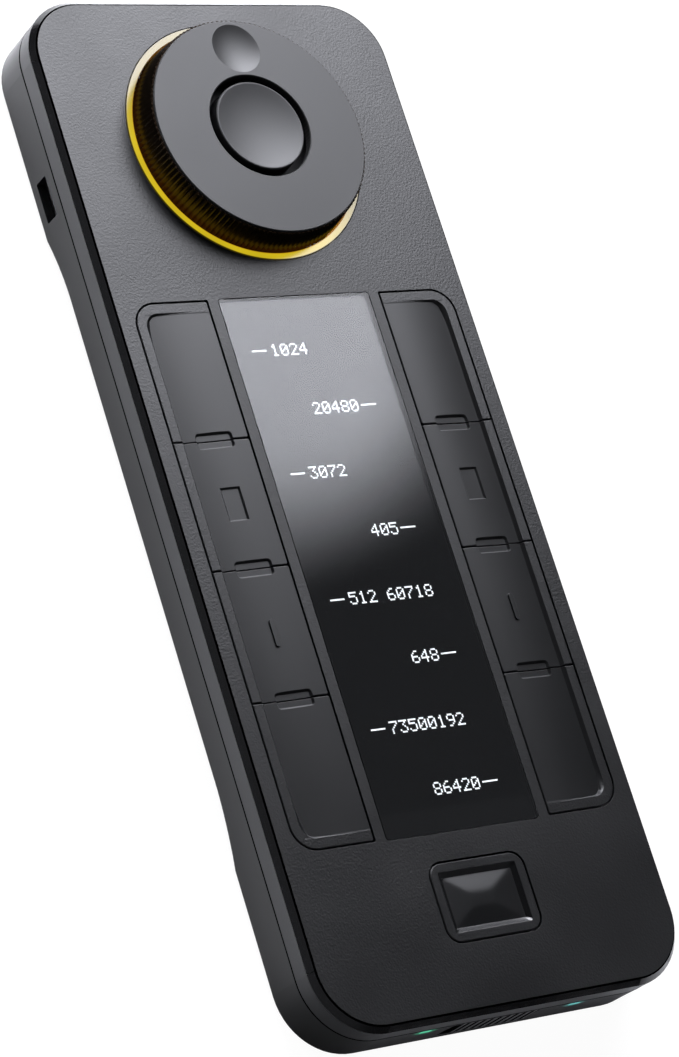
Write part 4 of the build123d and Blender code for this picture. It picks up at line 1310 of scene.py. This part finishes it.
    def floor(self) -> None:
        """A pale floor: white to the camera with the object's faint shadow, otherwise a paper sheet with a
        painted shadow.
        """
        material, graph = new_material("pale_floor")
        seen = graph.node("ShaderNodeLightPath").outputs["Is Camera Ray"]
        from_middle, _ = graph.polar(0.0)
        near = self.paper(graph, *self.floor_paper, self.tint)
        far = graph.node("ShaderNodeBsdfDiffuse", {"Color": (*self.floor_dark, 1.0)}).outputs[0]
        share = graph.math("MAXIMUM", graph.ramp(from_middle, self.floor_limits, smooth=True),
                           self.painted_floor_shadow(graph))
        plain_paper = graph.node("ShaderNodeMixShader", {0: share, 1: near, 2: far}).outputs[0]
        white_paper = self.paper(graph, *self.floor_white, WHITE)
        graph.show(graph.node("ShaderNodeMixShader", {0: seen, 1: plain_paper, 2: white_paper}).outputs[0])
        self.sheet("floor", self.floor_reach, self.floor_reach, 0.0, material)

    def painted_floor_shadow(self, graph: NodeGraph) -> bpy.types.NodeSocket:
        """A painted shadow on the paper: close to the end wall, and darker at its left corner.

        Args:
            graph: the floor's node graph.

        Returns:
            The share's socket, 0 where the paper is plain.
        """
        x, y, _ = graph.axes()
        away = graph.distance(graph.minus(x, self.shadow_corner_at[0] * MM), graph.minus(y, self.shadow_corner_at[1] * MM))
        corner = graph.ramp(away, self.shadow_corner_limits, 0.0, self.shadow_corner_share, smooth=True)
        shadow_ahead = graph.ramp(y, self.shadow_front_limits, 0.0, self.shadow_front_share, smooth=True)
        beyond = graph.ramp(y, self.shadow_front_end, 1.0, 0.0, smooth=True)
        return graph.math("MAXIMUM", corner, graph.times(shadow_ahead, beyond))

    def soft_box(self) -> None:
        """A large soft box overhead: soft edges, and brighter away from its near edge."""
        material, graph = new_material("soft_box_cloth")
        x, y, _ = graph.axes()
        at_x, at_y = (v * MM for v in self.near_at)
        line = graph.math("MULTIPLY_ADD", graph.minus(x, at_x), self.near_slope, at_y)
        beyond = graph.minus(y, line)
        further = graph.math("MAXIMUM", graph.minus(beyond, self.near_edge[1] * MM), 0.0)
        along = graph.minus(y, self.slopes_from * MM)
        left = graph.minus(x, graph.times(along, self.left_slope))
        right = graph.minus(x, graph.times(along, self.right_slope))
        level = graph.times(graph.ramp(beyond, self.near_edge, smooth=True),
                            graph.math("MULTIPLY_ADD", further, self.growth, 1.0),
                            graph.ramp(left, self.left_edge, smooth=True),
                            graph.ramp(right, self.right_edge, 1.0, 0.0, smooth=True),
                            graph.ramp(y, self.far_edge, 1.0, 0.0, smooth=True),
                            self.box_level)
        lamp = graph.node("ShaderNodeEmission", {"Color": (*self.tint, 1.0), "Strength": level})
        graph.show(lamp.outputs[0])
        box = self.sheet("soft_box", self.box_x, self.box_y, self.box_height, material)
        box.visible_camera = False

    def skyline(self) -> None:
        """A dim round wall far off, with one brighter band, that the camera doesn't see."""
        material, graph = new_material("skyline_cloth")
        _, _, z = graph.axes()
        level = graph.times(graph.ramp(z, self.skyline_rise, smooth=True),
                            graph.ramp(z, self.skyline_fade, 1.0, 0.0, smooth=True),
                            self.skyline_level - self.sky)
        glow = graph.node("ShaderNodeEmission", {"Color": (*self.tint, 1.0),
                                                 "Strength": graph.math("ADD", level, self.sky)})
        graph.show(glow.outputs[0])
        mesh = bmesh.new()
        radius, height = self.skyline_radius * MM, self.skyline_fade[1] * MM
        bmesh.ops.create_cone(mesh, cap_ends=False, segments=self.skyline_sides, radius1=radius,
                              radius2=radius, depth=height, matrix=Matrix.Translation((0, 0, height / 2)))
        wall = make_object(mesh, "skyline", material)
        wall.visible_camera = wall.visible_diffuse = wall.visible_shadow = False

    def fill(self) -> None:
        """A soft lamp from the dial's left that lights the side band."""
        data = bpy.data.lights.new("fill_lamp", "AREA")
        data.shape, data.size, data.size_y = "RECTANGLE", self.fill_size * MM, self.fill_size * MM
        data.energy = self.fill_power
        lamp = place_new("fill_lamp", data)
        lamp.location = Vector(self.fill_at) * MM
        lamp.visible_glossy = False
        lamp.rotation_mode = "QUATERNION"
        lamp.rotation_quaternion = (-lamp.location).to_track_quat("-Z", "Y")


# ---------------------------------------------------------------------------------------------
# The build
# ---------------------------------------------------------------------------------------------


def main() -> None:
    """Builds every sub-assembly in order, then the studio."""
    logging.basicConfig(level=logging.INFO, format="%(name)s: %(message)s")
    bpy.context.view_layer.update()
    shop = Workshop(Palette())
    assemblies = (Housing(shop), Hairlines(shop), Dial(shop), KeyColumns(shop), Display(shop),
                  LowerButton(shop), PowerEnd(shop), Internals(shop), Studio())
    for assembly in assemblies:
        assembly.build()
        log.info("%s is done", type(assembly).__name__)
    log.info("%d pieces made", shop.made)


if __name__ == "__main__":
    main()
